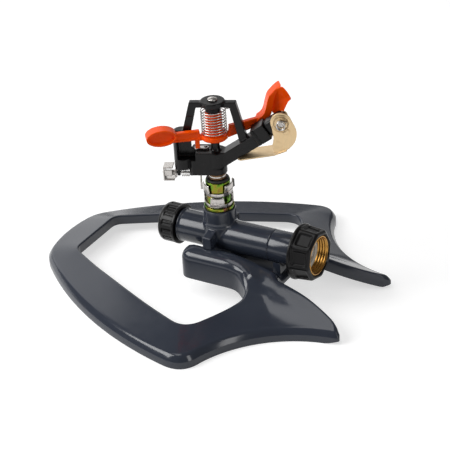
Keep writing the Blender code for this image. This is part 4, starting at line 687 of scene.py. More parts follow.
def arc(start, end, bow, count):
    """Points of a circular arc from start to end, with its middle bowed to the left."""
    start, end = Vector(start), Vector(end)
    chord = end - start
    left = Vector((-chord.y, chord.x)).normalized()
    half = 2 * math.atan2(2 * bow, chord.length)
    points = []
    for i in range(count + 1):
        t = i / count
        if abs(half) < 1e-6:
            points.append(start + chord * t)
            continue
        radius = chord.length / (2 * math.sin(half))
        angle = half * (2 * t - 1)
        along = radius * math.sin(angle) + chord.length / 2
        rise = radius * (math.cos(angle) - math.cos(half))
        points.append(start + chord.normalized() * along + left * rise)
    return points


def round_path(runs, trims, count=10):
    """Join runs of points end to end and round each corner over its trim lengths.

    A corner has one trim length, or a pair where it is rounder on one side.
    """
    pairs = [trim if isinstance(trim, tuple) else (trim, trim) for trim in trims]
    path = []
    for k, run in enumerate(runs):
        before = pairs[k - 1][1] if k else 0
        after = pairs[k][0] if k < len(runs) - 1 else 0
        kept = trim_run(run, before, after)
        if k:
            corner, last, first = run[0], path[-1], kept[0]
            for i in range(1, count):
                t = i / count
                path.append(last * (1 - t) ** 2 + corner * 2 * t * (1 - t) + first * t * t)
        path.extend(kept)
    return path


def trim_run(run, before, after):
    """Shorten a run of points by a length at each end."""
    lengths = [0.0]
    for a, b in zip(run, run[1:]):
        lengths.append(lengths[-1] + (b - a).length)
    low, high = before, lengths[-1] - after

    def at(where):
        """The point at a length along the run."""
        for k in range(1, len(run)):
            if where <= lengths[k] + 1e-9:
                t = (where - lengths[k - 1]) / (lengths[k] - lengths[k - 1])
                return run[k - 1].lerp(run[k], t)
        return run[-1].copy()

    inner = [p for p, s in zip(run, lengths) if low + 0.0004 < s < high - 0.0004]
    return [at(low)] + inner + [at(high)]


def sled_halves():
    """Outer and inner plan outlines of the sled from nose to tail, on one side."""
    halves = []
    for corners, runs, trims in (OUTER_PLAN, INNER_PLAN):
        arcs = [arc(a, b, bow, count)
                for a, b, (bow, count) in zip(corners, corners[1:], runs)]
        halves.append(round_path(arcs, trims))
    return halves


def path_distance(points, path, closed=False):
    """Distance of many plan points to a path, all at once."""
    corners = np.array([tuple(p) for p in path])
    ends = np.roll(corners, -1, axis=0) if closed else corners[1:]
    starts = corners if closed else corners[:-1]
    best = np.full(len(points), 1e9)
    for a, b in zip(starts, ends):
        run = b - a
        share = np.clip(((points - a) @ run) / (run @ run), 0, 1)
        best = np.minimum(best, np.hypot(*(points - a - share[:, None] * run).T))
    return best


def inside_loop(points, loop):
    """Which plan points lie inside a closed loop."""
    corners = np.array([tuple(p) for p in loop])
    hit = np.zeros(len(points), bool)
    for a, b in zip(corners, np.roll(corners, -1, axis=0)):
        if abs(a[1] - b[1]) < 1e-12:
            continue
        cross = (a[1] > points[:, 1]) != (b[1] > points[:, 1])
        at = a[0] + (points[:, 1] - a[1]) * (b[0] - a[0]) / (b[1] - a[1])
        hit ^= cross & (points[:, 0] < at)
    return hit


class SledForm:
    """Heights of the sled over its plan."""

    def __init__(self, outer_half, inner_half, sizes):
        tip = max(range(len(outer_half)), key=lambda i: outer_half[i].x)
        self.rim = outer_half[:tip + 1]
        self.tails = outer_half[tip:]
        self.outer = self.closed(outer_half)
        self.inner = self.closed(inner_half)
        self.sizes = sizes

    @staticmethod
    def closed(half):
        """Both sides of an outline from one side."""
        return half + [Vector((p.x, -p.y)) for p in reversed(half[1:-1])]

    def distances(self, points):
        """Distance to the outer rim, and to the inner and tail edges."""
        folded = np.column_stack((points[:, 0], np.abs(points[:, 1])))
        out = path_distance(folded, self.rim)
        edge = np.minimum(path_distance(folded, self.tails),
                          path_distance(points, self.inner, closed=True))
        return out, edge

    def ridge(self, points):
        """Height of the ring's inner edge, which swells into the arms and the tails."""
        across, x = np.abs(points[:, 1]), points[:, 0]
        t = np.clip((x - TAIL_START) / (TAIL_REACH - TAIL_START), 0, 1)
        crown = self.sizes.arm_top - (self.sizes.arm_top - TAIL_TIP_HEIGHT) * t ** 1.2
        flat = between(FLAT_TOP, smoothstep(0.060, 0.115, x))
        fall = between(FLANK_FALL, smoothstep(0.045, 0.080, x))
        decay = np.exp(-np.maximum(0.0, across - flat) / fall)
        return between((self.sizes.ring_height, crown), decay * smoothstep(*RISE, x))

    def top(self, points):
        """Height of the upper face: rim, slope, trough between the arms, rounded shoulders."""
        out, edge = self.distances(points)
        ridge = self.ridge(points)
        rim = between((RIM_HEIGHT, CREASE_HEIGHT),
                      np.sin(math.pi / 2 * np.clip(out / CREASE, 0, 1)))
        slope = edge * (1 - smoothstep(0.030, 0.060, out))
        share = np.clip((out - CREASE) / np.maximum(1e-9, out - CREASE + slope), 0, 1)
        height = np.where(out < CREASE, rim, between((CREASE_HEIGHT, ridge), share))
        sink = 1 - smoothstep(*TROUGH_FLANK, np.abs(points[:, 1]))
        along = (points[:, 0] > TROUGH_ENDS[0]) & (points[:, 0] < TROUGH_ENDS[1])
        height = np.where(along, between((height, self.sizes.trough_floor), sink), height)
        radius = between((LEAST_SHOULDER, self.sizes.shoulder), smoothstep(0.020, 0.037, ridge))
        radius = radius + 0.0034 * smoothstep(TAIL_REACH - 0.012, TAIL_REACH, points[:, 0])
        near = np.clip(1 - edge / radius, 0, 1)
        drop = radius * (1 - np.sqrt(np.maximum(0, 1 - near ** 2)))
        return height - drop * smoothstep(0, CREASE, out)

    def foot(self, points):
        """Height of the wall's foot: on the ground outside, raised inside and at the tips."""
        out, edge = self.distances(points)
        ridge = self.ridge(points)
        deep = RING_DEPTH + 0.65 * np.maximum(0.0, ridge - self.sizes.ring_height)
        share = smoothstep(0.040, 0.070, points[:, 0])
        inner = np.maximum(0.0, ridge - between((deep, TAIL_DEPTH), share))
        tail = 0.0025 * smoothstep(TAIL_REACH - 0.0120, TAIL_REACH, points[:, 0])
        return np.maximum(tail, np.where(out <= edge, 0.0, inner))

    def seat(self):
        """Height of the pads that the pipe's lugs stand on."""
        return float(self.top(np.array([(0.0, LUG_SPACING + LUG_WIDTH / 2)]))[0]) + 0.0002


def sled_form():
    """The sled at the sizes that the sidebar holds."""
    return SledForm(*sled_halves(), settings("sled"))


def inset(loop, depth, side):
    """A loop moved into the material, without the points that would cross."""
    count = len(loop)
    moved = []
    for i in range(count):
        along = (loop[(i + 1) % count] - loop[i - 1]).normalized()
        moved.append(loop[i] + Vector((-along.y, along.x)) * side * depth)
    clear = path_distance(np.array([tuple(p) for p in moved]), loop, closed=True)
    return [p for p, c in zip(moved, clear) if c > depth * 0.96]


def sled_shape(form):
    """Fine closed shell of the sled from one triangulated plan."""
    outer, inner, wall, step = form.outer, form.inner, form.sizes.wall, form.sizes.fineness
    loops = [(outer, True), (inner, True), (inset(outer, wall, -1), True),
             (inset(inner, wall, 1), True)]
    loops += [(inset(outer, depth, -1), depth in (OUTER_ROWS[0], CREASE))
              for depth in OUTER_ROWS]
    loops += [(inset(inner, depth, 1), False) for depth in INNER_ROWS]
    points, edges = [], []
    for loop, kept_as_edge in loops:
        first, count = len(points), len(loop)
        points.extend(loop)
        for i in range(count if kept_as_edge else 0):
            j = (i + 1) % count
            if (loop[i] - loop[j]).length < LONGEST_EDGE:
                edges.append((first + i, first + j))
    xs = np.arange(-0.147, TAIL_REACH, step)
    ys = np.arange(-0.125, 0.125, step * 0.87)
    grid = np.array([(x + (j % 2) * step / 2, y) for j, y in enumerate(ys) for x in xs])
    clear = np.minimum(path_distance(grid, outer, True), path_distance(grid, inner, True))
    keep = inside_loop(grid, outer) & ~inside_loop(grid, inner) & (clear > EDGE_ZONE)
    points += [Vector(p) for p in grid[keep]]
    verts, _, faces, *_ = delaunay_2d_cdt(points, edges, [], 0, 1e-6)
    plan = np.array([tuple(v) for v in verts])
    corners = np.array([list(f) for f in faces])
    middles = plan[corners].mean(axis=1)
    solid = inside_loop(middles, outer) & ~inside_loop(middles, inner)
    clear = np.minimum(path_distance(plan, outer, True), path_distance(plan, inner, True))
    deep = clear > wall * 0.93
    tops, feet = form.top(plan), form.foot(plan)
    shape = bmesh.new()
    rows = {"top": {}, "under": {}, "foot": {}}
    levels = {"top": tops, "under": tops - wall, "foot": feet}

    def corner(row, i):
        """The point of one face over a point of the plan, made once."""
        if i not in rows[row]:
            rows[row][i] = shape.verts.new((plan[i, 0], plan[i, 1], levels[row][i]))
        return rows[row][i]

    seen = {}
    for face in corners[solid]:
        face = [int(i) for i in face]
        hollow = bool(deep[face].all())
        shape.faces.new([corner("top", i) for i in face])
        row = "under" if hollow else "foot"
        shape.faces.new([corner(row, i) for i in reversed(face)])
        for a, b in zip(face, face[1:] + face[:1]):
            seen.setdefault(tuple(sorted((a, b))), []).append(hollow)
    for (a, b), found in seen.items():
        upper = "top" if len(found) == 1 else "under"
        if len(found) == 1 or found[0] != found[1]:
            shape.faces.new([corner(upper, a), corner(upper, b), corner("foot", b),
                             corner("foot", a)])
    return shape


class SPRINKLER_OT_sled(bpy.types.Operator):
    """Mould the sled base with its saddle and screw bosses"""

    bl_idname = "sprinkler.sled"
    bl_label = "Sled base"

    def execute(self, context):
        form = sled_form()
        pipe_radius = settings("line").pipe_radius
        saddle_top = PIPE_HEIGHT - pipe_radius * 0.6
        low, deck = form.sizes.trough_floor - 0.0013, form.seat()
        block = box((0.006, 0.018, saddle_top - low), (0.052, 0, (saddle_top + low) / 2))
        nest = rod(pipe_radius + SEAT_GAP, 0.030, 0.070, 96)
        at_pipe = Matrix.Translation((0, 0, PIPE_HEIGHT)) @ ALONG_X
        sections = [sled_shape(form), bevelled(difference(block, (nest, at_pipe)), 0.0004, 2)]
        for side in (-1, 1):
            boss = turned(stepped(0.0022, deck - 0.016, (0.0048, deck)), 0.0004, 48)
            sections.append((boss, Matrix.Translation((0, side * LUG_SPACING, 0))))
        finish_piece("sled_shell", joined(*sections), RIG, "slate", "base", "sled_base", 38.0)
        return {"FINISHED"}


# Hose line

class SPRINKLER_OT_manifold(bpy.types.Operator):
    """Mould the pipe, the tee and the lugs, and the glued inlet end"""

    bl_idname = "sprinkler.manifold"
    bl_label = "Manifold and inlet pipe"

    def execute(self, context):
        sizes = settings("line")
        radius, bore, seam = sizes.pipe_radius, sizes.bore_radius, sizes.seam
        end = reaches("manifold")[0]
        collar, spigot, tee_radius = -0.0315, 0.0114, 0.0123
        pipe = lathe(stepped(0, end, (spigot, collar - 0.0018), (radius + 0.0007, collar),
                             (radius, seam)), 128)
        tee_top = heights("manifold")[1]
        tee = rod(tee_radius, PIPE_HEIGHT, tee_top, 128)
        fillet = lathe([(0, PIPE_HEIGHT), (0.0131, PIPE_HEIGHT), (0.0131, 0.0525),
                        (0.0126, 0.0532), (tee_radius, 0.0550), (0, 0.0550)], 128)
        deck = sled_form().seat() + SEAT_GAP
        lugs = []
        for side in (-1, 1):
            inward = side * (LUG_SPACING - LUG_WIDTH / 2)
            outward = side * (LUG_SPACING + LUG_WIDTH / 2)
            top, neck = PIPE_HEIGHT + radius * 0.78, side * radius * 0.6
            outline = [(inward, deck), (outward, deck), (outward, PIPE_HEIGHT + 0.0068),
                       (side * radius * 0.86, top), (neck, top), (neck, deck + 0.0016),
                       (inward, deck + 0.0016)]
            lug = prism(outline, -0.0035, 0.0035)
            for vert in lug.verts:
                vert.co = (vert.co.z, vert.co.x, vert.co.y)
            lugs.append(lug)
        drill = rod(bore, end - 0.01, seam + 0.01, 96)
        riser = rod(0.0094, PIPE_HEIGHT, tee_top + 0.01, 96)
        onto_line = RIG.inverted() @ LINE
        mesh = moulded([(pipe, onto_line), tee, fillet, *lugs], [(drill, onto_line), riser],
                       0.00050, 3)
        finish_piece("manifold_moulding", mesh, RIG, "slate", "base", "manifold", 60.0)
        start = seam + SEAT_GAP
        neck, flange = reaches("coupling_nut")[0], reaches("inlet_tailpiece")[1]
        section = stepped(bore, start, (radius, neck - 0.0008), (0.0108, flange - 0.002),
                          (0.0125, flange))
        finish_piece("inlet_pipe", turned(section, 0.0005, 128), LINE, "slate", "base",
                     "inlet_tailpiece")
        return {"FINISHED"}


def ring_of(name, template, count, radius, start):
    """Geometry Nodes: copies of a template spaced evenly round Z, made real."""
    tree = bpy.data.node_groups.new(name, "GeometryNodeTree")
    for label, kind in (("Geometry", "Geometry"), ("Count", "Int"), ("Radius", "Float"),
                        ("Start", "Float")):
        tree.interface.new_socket(name=label, in_out="INPUT", socket_type="NodeSocket" + kind)
    tree.interface.new_socket(name="Geometry", in_out="OUTPUT",
                              socket_type="NodeSocketGeometry")
    given = node(tree, "NodeGroupInput").outputs
    line = node(tree, "GeometryNodeMeshLine", {"Count": given["Count"], "Offset": (0, 0, 0)})
    index = node(tree, "GeometryNodeInputIndex")
    share = node(tree, "ShaderNodeMath", {0: index.outputs[0], 1: given["Count"]},
                 operation="DIVIDE")
    turn = node(tree, "ShaderNodeMath", {0: share.outputs[0], 1: math.tau, 2: given["Start"]},
                operation="MULTIPLY_ADD")
    axes = {}
    for axis, wave in (("X", "COSINE"), ("Y", "SINE")):
        part = node(tree, "ShaderNodeMath", {0: turn.outputs[0]}, operation=wave)
        axes[axis] = node(tree, "ShaderNodeMath", {0: part.outputs[0], 1: given["Radius"]},
                          operation="MULTIPLY").outputs[0]
    spot = node(tree, "ShaderNodeCombineXYZ", axes)
    spin = node(tree, "ShaderNodeCombineXYZ", {"Z": turn.outputs[0]})
    spread = node(tree, "GeometryNodeSetPosition",
                  {"Geometry": line.outputs[0], "Position": spot.outputs[0]})
    copies = node(tree, "GeometryNodeInstanceOnPoints",
                  {"Points": spread.outputs[0], "Instance": given["Geometry"],
                   "Rotation": spin.outputs[0]})
    real = node(tree, "GeometryNodeRealizeInstances", {"Geometry": copies.outputs[0]})
    coated = node(tree, "GeometryNodeSetMaterial",
                  {"Geometry": real.outputs[0], "Material": FINISHES["black"]})
    node(tree, "NodeGroupOutput", {"Geometry": coated.outputs[0]})
    carrier = temporary(template)
    step = carrier.modifiers.new(name, "NODES")
    step.node_group = tree
    values = {"Count": count, "Radius": radius, "Start": start}
    for item in tree.interface.items_tree:
        if item.in_out == "INPUT" and item.name in values:
            step[item.identifier] = values[item.name]
    return shape_of(evaluated_mesh(carrier))


class SPRINKLER_OT_end_cap(bpy.types.Operator):
    """Mould the ribbed end cap and its gasket"""

    bl_idname = "sprinkler.end_cap"
    bl_label = "End cap"

    def execute(self, context):
        end, mouth = reaches("end_cap")
        outer = span("end_cap")[1].y / 2
        body, rim, wall = outer - 0.0003, 0.0022, 0.0020
        section = [(0, end), (body - 0.0012, end), (body, end + wall), (body, mouth - rim),
                   (outer, mouth - rim), (outer, mouth), (0.0118, mouth),
                   (0.0118, end + wall), (0, end + wall)]
        radii = [0, 0.0014, 0.0016, 0.0002, 0.0005, 0.0004, 0.0004, 0.0003, 0]
        shell = lathe(rounded(section, radii), 112)
        count = settings("line").cap_ribs
        low, high = end + 0.0040, mouth - rim + 0.0002
        slot = box((0.0024, 0.0038, high - low), (0, 0, (low + high) / 2))
        rib = box((0.0040, 0.0017, high - low), (0, 0, (low + high) / 2 + 0.0008))
        slots = ring_of("cap_slots", difference(slot, rib), count, outer, math.pi / count)
        ribbed = shape_of(moulded([shell], [slots], 0.00028, 2))
        dish = lathe(rounded(stepped(0.0060, end - 0.00001, (0.0064, end + 0.0004)), 0.0001), 64)
        finish_piece("end_cap_shell", joined(ribbed, dish), LINE, "black", "cap", "end_cap")
        low, high = reaches("cap_gasket")
        disc = turned(stepped(0, low, (0.0111, high)), 0.0003, 64)
        finish_piece("cap_gasket_disc", disc, LINE, "rubber", "gasket", "cap_gasket")
        return {"FINISHED"}


# Height of one row of faces in the thread, and how steep and wide its crests are
THREAD_ROW = 0.00022
CREST_SLOPE = 2.6
CREST_START = 0.15


def helix_bore(minor, major, low, high, pitch, steps=96):
    """Grid of a threaded bore between two heights, as rows of (x, y, z).

    The thread's flanks slope, its crests are flat, and it fades out at both ends.
    """
    rows = int((high - low) / THREAD_ROW)
    grid = []
    for r in range(rows + 1):
        z = low + (high - low) * r / rows
        row = []
        for i in range(steps):
            phase = ((z - pitch * i / steps) / pitch) % 1.0
            crest = min(1.0, max(0.0, CREST_SLOPE * abs(phase - 0.5) - CREST_START))
            fade = min(1.0, (high - z) / 0.0012, (z - low) / 0.0006)
            radius = major - (major - minor) * crest * max(0.0, fade)
            angle = math.tau * i / steps
            row.append((radius * math.cos(angle), radius * math.sin(angle), z))
        grid.append(row)
    return grid


class SPRINKLER_OT_coupling(bpy.types.Operator):
    """Mould the coupling nut and turn the threaded brass insert inside it"""

    bl_idname = "sprinkler.coupling"
    bl_label = "Hose coupling"

    def execute(self, context):
        sizes = settings("line")
        start, end = reaches("coupling_nut")
        self.make_nut(sizes.nut_grips, start, end)
        self.make_insert(sizes.thread_pitch, start, end)
        low, high = reaches("hose_washer")
        washer = turned(stepped(0.0094, low, (0.0126, high)), 0.0007)
        finish_piece("hose_washer_ring", washer, LINE, "nylon", "base", "hose_washer")
        self.make_filter()
        return {"FINISHED"}

    @staticmethod
    def make_nut(sides, start, end):
        """A body with flat sides that narrows to its mouth, with a panel sunk in each side."""
        flange, back, front, mouth = 0.0213, 0.0209, 0.0196, 0.0153
        section = [(0.0112, start), (flange, start), (flange, start + 0.0017),
                   (back, start + 0.0028), (front, end - 0.0012), (front - 0.0016, end),
                   (mouth + 0.0011, end), (mouth, end - 0.0012), (mouth, start + 0.0036),
                   (0.0112, start + 0.0036)]
        radii = [0.0003, 0.0006, 0.0005, 0.0006, 0.0008, 0.0008, 0.0004, 0.0004, 0.0002, 0.0003]
        body = lathe(rounded(section, radii), 192)
        lead = math.radians(7.0)
        for vert in body.verts:
            radius = math.hypot(vert.co.x, vert.co.y)
            if radius > mouth + 0.0012 and vert.co.z > start + 0.0024:
                angle = (math.atan2(vert.co.y, vert.co.x) - lead) % (math.tau / sides)
                flat = math.cos(math.pi / sides) / math.cos(angle - math.pi / sides)
                scale = min(flat, 0.985)
                vert.co.x *= scale
                vert.co.y *= scale
        width = math.tau * back / sides * 0.66
        low, high = start + 0.0042, end - 0.0026
        lean = math.atan2(back - front, high - low)
        panel = bevelled(box((0.0060, width, high - low)), 0.0012, 2)
        at_side = Matrix.Translation((0, 0, (low + high) / 2)) @ Matrix.Rotation(-lean, 4, "Y")
        sunk = (back + front) / 2 * math.cos(math.pi / sides) - 0.0014 + 0.0030
        panels = ring_of("nut_panels", (panel, at_side), sides, sunk, lead + math.pi / sides)
        mesh = moulded([body], [panels], 0.00034, 3)
        finish_piece("coupling_nut_shell", mesh, LINE, "black", "coupling", "coupling_nut", 70.0)

    @staticmethod
    def make_insert(pitch, start, end):
        """The brass insert, with its thread cut as one helix."""
        low, lip = start + 0.0039, end - 0.0007
        shape = bmesh.new()
        rows = [[shape.verts.new(p) for p in row]
                for row in helix_bore(0.0129, 0.0137, low, lip - 0.0006, pitch)]
        for radius, height in ((0.0141, lip), (0.0148, lip), (0.0150, lip - 0.0002),
                               (0.0150, low)):
            rows.append(ring(shape, radius, height, len(rows[0])))
        wrap(shape, rows + rows[:1])
        finish_piece("threaded_insert", shape, LINE, "brass", "coupling", "coupling_insert",
                     50.0)

    def make_filter(self):
        """The filter: two crossed rows of wires, arched over its dome, and a rim."""
        low, high = reaches("filter_screen")
        wires, reach, pitch = [], 0.0088, 0.0011
        lines = int(reach / pitch)
        for turn in (0, math.pi / 2):
            for k in range(-lines, lines + 1):
                strand = self.strand(k * pitch, reach, low, high)
                wires.append((strand, Matrix.Rotation(turn, 4, "Z")))
        rim = turned(stepped(0.0084, low, (0.0091, low + 0.0007)), 0.0002, 64)
        finish_piece("filter_mesh", joined(rim, *wires), LINE, "steel", "base",
                     "filter_screen", 60.0)

    @staticmethod
    def strand(off, reach, low, high):
        """One wire of the filter, at a distance from the middle."""
        shape = bmesh.new()
        rings, thickness, steps = [], 0.00011, 12
        half = math.sqrt(max(0.0, reach ** 2 - off ** 2))
        for i in range(steps + 1):
            x = -half + 2 * half * i / steps
            share = min(1.0, (x * x + off * off) / reach ** 2)
            z = low + 0.0003 + (high - low - 0.0005) * math.sqrt(1 - share * 0.999)
            rings.append([shape.verts.new((x, off + dy, z + dz)) for dy, dz in
                          ((thickness, 0), (0, thickness), (-thickness, 0), (0, -thickness))])
        wrap(shape, rings)
        shape.faces.new(rings[0])
        shape.faces.new(rings[-1])
        return shape


# Bearing and trip collars

class SPRINKLER_OT_bearing(bpy.types.Operator):
    """Turn the nipple, the bearing tube and the rings between them"""

    bl_idname = "sprinkler.bearing"
    bl_label = "Bearing"

    def execute(self, context):
        low, high = heights("bearing_nipple")
        seat = heights("manifold")[1] + SEAT_GAP
        section = stepped(0.0066, low, (0.0091, seat), (0.0114, seat + 0.0026), (0.0093, high))
        finish_piece("nipple", turned(section, 0.0005), RIG, "zinc", "base", "bearing_nipple")
        low, high = heights("bearing_tube")
        section = stepped(0.0046, low, (0.0086, low + 0.0022), (0.0062, high))
        finish_piece("turned_tube", turned(section, 0.0003, 64), RIG, "bronze", "head",
                     "bearing_tube")
        low, high = heights("seat_washer")
        section = stepped(0.0065, low, (0.0086, high))
        finish_piece("seat_ring", turned(section, 0.0002, 64), RIG, "rubber", "base",
                     "seat_washer")
        low, high = heights("dust_seal")
        section = [(0.0065, low), (0.0088, low), (0.0088, low + 0.0008), (0.0080, high),
                   (0.0065, high)]
        finish_piece("dust_ring", turned(section, 0.0004), RIG, "rubber", "base", "dust_seal")
        for k in range(3):
            name = f"thrust_washer_{k + 1}"
            low, high = heights(name)
            section = stepped(0.00635, low, (span(name)[1].x / 2, high))
            finish_piece(f"{name}_ring", turned(section, 0.0003, 72), RIG,
                         "steel" if k % 2 else "bronze", "head", name)
        return {"FINISHED"}


def wrapped_sheet(outline_rows, columns, inner, outer):
    """Curved sheet from rows of (height, half angle, radial lift), closed all round."""
    shape = bmesh.new()
    grids = []
    for face_radius in (inner, outer):
        grid = []
        for z, half, lift in outline_rows:
            radius = face_radius + lift
            angles = [-half + 2 * half * i / columns for i in range(columns + 1)]
            grid.append([shape.verts.new((radius * math.cos(a), radius * math.sin(a), z))
                         for a in angles])
        grids.append(grid)
    sheet_between(shape, *grids)
    return shape


COLLAR_HEIGHT = 0.0088

# Pads of the collars, up their height: share of the height, share of the width, bulge
PAD_PROFILE = [(0.02, 1.0, 0.1), (0.08, 1.0, 0.75), (0.16, 1.0, 1.0), (0.44, 0.94, 1.0),
               (0.47, 0.935, 0.55), (0.53, 0.925, 0.55), (0.56, 0.92, 1.0), (0.86, 0.86, 1.0),
               (0.96, 0.83, 0.8), (1.0, 0.80, 0.45)]


def collar_shape(low, azimuth, stop_azimuth, stop_high):
    """Hoop, three bulged pads with a pressed slit, and the bent stop."""
    inner, wall, bulge, reach = 0.0096, 0.0008, 0.0112, 0.0136
    hoop = low + 0.0026
    parts = [lathe(rounded(stepped(inner, low, (inner + wall, hoop)), 0.0002, 2))]
    half, lift = math.radians(31), bulge - inner - wall
    rows = [(low + share * COLLAR_HEIGHT, half * spread, lift * swell)
            for share, spread, swell in PAD_PROFILE]
    for k in range(3):
        pad = wrapped_sheet(rows, 20, inner + 0.0003, inner + wall)
        parts.append((pad, Matrix.Rotation(math.radians(azimuth + 120 * k), 4, "Z")))
    outline = rounded([(inner + 0.0003, low + 0.0003), (reach, low + 0.0003),
                       (reach, stop_high), (reach - 0.0012, stop_high),
                       (reach - 0.0012, hoop - 0.0003), (inner + 0.0003, hoop - 0.0003)],
                      0.0005)
    stop = side_prism(outline, -0.0010, 0.0010)
    parts.append((stop, Matrix.Rotation(math.radians(stop_azimuth), 4, "Z")))
    return joined(*parts)


class SPRINKLER_OT_collars(bpy.types.Operator):
    """Press the two trip collars"""

    bl_idname = "sprinkler.collars"
    bl_label = "Trip collars"

    def execute(self, context):
        for level, azimuth, stop in (("lower", -66.0, 138.0), ("upper", -6.0, 60.0)):
            name = "trip_collar_" + level
            low, high = heights(name)
            if level == "upper":
                high = low + COLLAR_HEIGHT * 0.8
            finish_piece(f"{name}_pressing", collar_shape(low, azimuth, stop, high), RIG,
                         "steel", "collar_" + level, name, 40.0)
        return {"FINISHED"}


# Sprinkler body

class SPRINKLER_OT_body(bpy.types.Operator):
    """Mould the body with its barrel, bridge and trip column"""

    bl_idname = "sprinkler.body"
    bl_label = "Sprinkler body"

    def execute(self, context):
        sizes = settings("head")
        low, top = BODY_LOW, BODY_TOP
        core = lathe([(0, low), (0.0079, low), (0.0079, low + 0.0052), (0.0083, low + 0.0058),
                      (0.0083, top), (0, top)], 96)
        block = prism([(0, -0.008), (0, 0.008), (-0.0175, 0.008), (-0.0200, -0.0045),
                       (-0.0172, -0.008)], BLOCK_LOW - 0.0008, BLOCK_TOP)
        web = box((0.0100, 0.00816, 0.0100), (-0.0195, 0, BLOCK_TOP - 0.0080))
        column = lathe([(0, COLUMN_LOW), (0.0068, COLUMN_LOW), (0.0068, COLUMN_TOP - 0.0008),
                        (0.0058, COLUMN_TOP), (0, COLUMN_TOP)], 72)
        root, slim = 0.0360, sizes.barrel_depth - 0.0038
        collar = sizes.barrel_length - root
        tube = box((root, sizes.barrel_width - 0.0010, slim),
                   (root / 2, 0, (slim - sizes.barrel_depth) / 2))
        barrel = box((collar, sizes.barrel_width, sizes.barrel_depth), (root + collar / 2, 0, 0))
        onto_head = HEAD.inverted() @ BARREL
        parts = [core, block, web, (column, Matrix.Translation((-COLUMN_REACH, 0, 0))),
                 (tube, onto_head), (barrel, onto_head), self.leg(1), self.leg(-1)]
        at_trip = Matrix.Translation((0, 0, TRIP_HEIGHT)) @ ALONG_X
        eye_top = COLUMN_LOW + 0.0040
        for reach in (INNER_EYE, OUTER_EYE):
            parts.append(box((2 * HALF_EYE, 0.0052, eye_top - TRIP_HEIGHT),
                             (-reach, 0, (eye_top + TRIP_HEIGHT) / 2)))
            parts.append((rod(0.0026, -reach - HALF_EYE, -reach + HALF_EYE, 48), at_trip))
        spindle = lathe([(0, BOSS_LOW), (0.0058, BOSS_LOW), (0.0058, DISC_TOP - 0.0036),
                         (0.0091, DISC_TOP - 0.0036), (0.0091, DISC_TOP - 0.0004),
                         (0.0087, DISC_TOP), (0, DISC_TOP)], 96)
        post = lathe([(0, top - 0.0030), (0.0046, top - 0.0020), (0.0043, top + 0.0003),
                      (0.0033, top + 0.0021), (0.0033, POST_TOP), (0, POST_TOP)], 64)
        parts += [spindle, post]
        mesh = moulded(parts, self.hollows(sizes, onto_head, at_trip), 0.00036, 3)
        finish_piece("body_moulding", mesh, HEAD, "black", "head", "sprinkler_body", 70.0)
        self.make_nozzle(sizes)
        self.make_pin()
        return {"FINISHED"}

    @staticmethod
    def leg(side):
        """Top bar and leg of the bridge on one side."""
        top, under = BRIDGE_TOP, BRIDGE_TOP - 0.0042
        foot = 0.0250 if side > 0 else 0.0245
        on_barrel = BARREL_ROOT + foot * math.tan(BARREL_TILT) - 0.0010
        floor = on_barrel if side > 0 else COLUMN_TOP - 0.004
        lean = 0.0063
        outline = [(side * 0.004, top), (side * 0.0172, top), (side * foot, floor),
                   (side * (foot - lean), floor - 0.001), (side * 0.0124, under),
                   (side * 0.004, under)]
        return side_prism(outline, -0.0027, 0.0027)

    @staticmethod
    def hollows(sizes, onto_head, at_trip):
        """Bores, the column's slot, the arm's clearance and the seam round the barrel."""
        slot = box((0.0136, 0.0136, 0.0155), (-0.0211, -0.00578, COLUMN_TOP - 0.01425))
        swing = box((0.0272, 0.0136, 0.0200), (-COLUMN_REACH, -0.0087, COLUMN_TOP + 0.0023))
        socket = rod(0.0065, BODY_LOW - 0.01, BODY_LOW + 0.0090)
        water = rod(0.0022, 0, sizes.barrel_length + 0.01)
        mouth = rod(0.0052, sizes.barrel_length - 0.006, sizes.barrel_length + 0.01)
        pin = rod(0.0022, POST_TOP - 0.0078, DISC_TOP + 0.01)
        shaft = rod(0.0010, -0.0385, -0.015)
        seam = difference(box((0.0007, 0.020, 0.020)), box((0.0009, 0.0109, 0.0115)))
        on_barrel = onto_head @ Matrix.Translation((0.0385, 0, 0))
        return [slot, swing, socket, (water, onto_head @ ALONG_X), (mouth, onto_head @ ALONG_X),
                pin, (shaft, at_trip), (seam, on_barrel)]

    @staticmethod
    def make_nozzle(sizes):
        """The nozzle's tip, whose way narrows to the jet and flares at its mouth."""
        start, length_out = sizes.barrel_length + SEAT_GAP, 0.0150
        end = start + length_out
        tip = bevelled(box((length_out, sizes.barrel_width - 0.0008,
                            sizes.barrel_depth - 0.0010), ((start + end) / 2, 0, 0)), 0.0024, 4)
        stem = rod(0.0049, sizes.barrel_length - 0.0057, start + 0.003)
        way = lathe([(0, start - 0.010), (0.0042, start - 0.010), (0.0042, start - 0.0003),
                     (0.0022, end - 0.004), (0.0022, end - 0.001), (0.0034, end + 0.001),
                     (0, end + 0.001)], 64)
        mesh = moulded([tip, (stem, ALONG_X)], [(way, ALONG_X)], 0.0003, 3)
        finish_piece("nozzle_moulding", mesh, BARREL, "black", "head", "nozzle_tip", 70.0)

    @staticmethod
    def make_pin():
        """The steel pin that the arm swings on, with its domed head."""
        low, high = heights("fulcrum_pin")
        seat = DISC_TOP + SEAT_GAP
        crown = around((0, seat + 0.0004), (0.0036, high - seat - 0.0004), 0, 90, 8)[:-1]
        section = [(0, low), (0.0015, low), (0.0019, low + 0.0004), (0.0019, seat),
                   (0.0034, seat), (0.0036, seat + 0.0002)] + crown + [(0, high)]
        finish_piece("riveted_pin", lathe(section, 64), RIG, "steel", "head", "fulcrum_pin")


# Impact arm

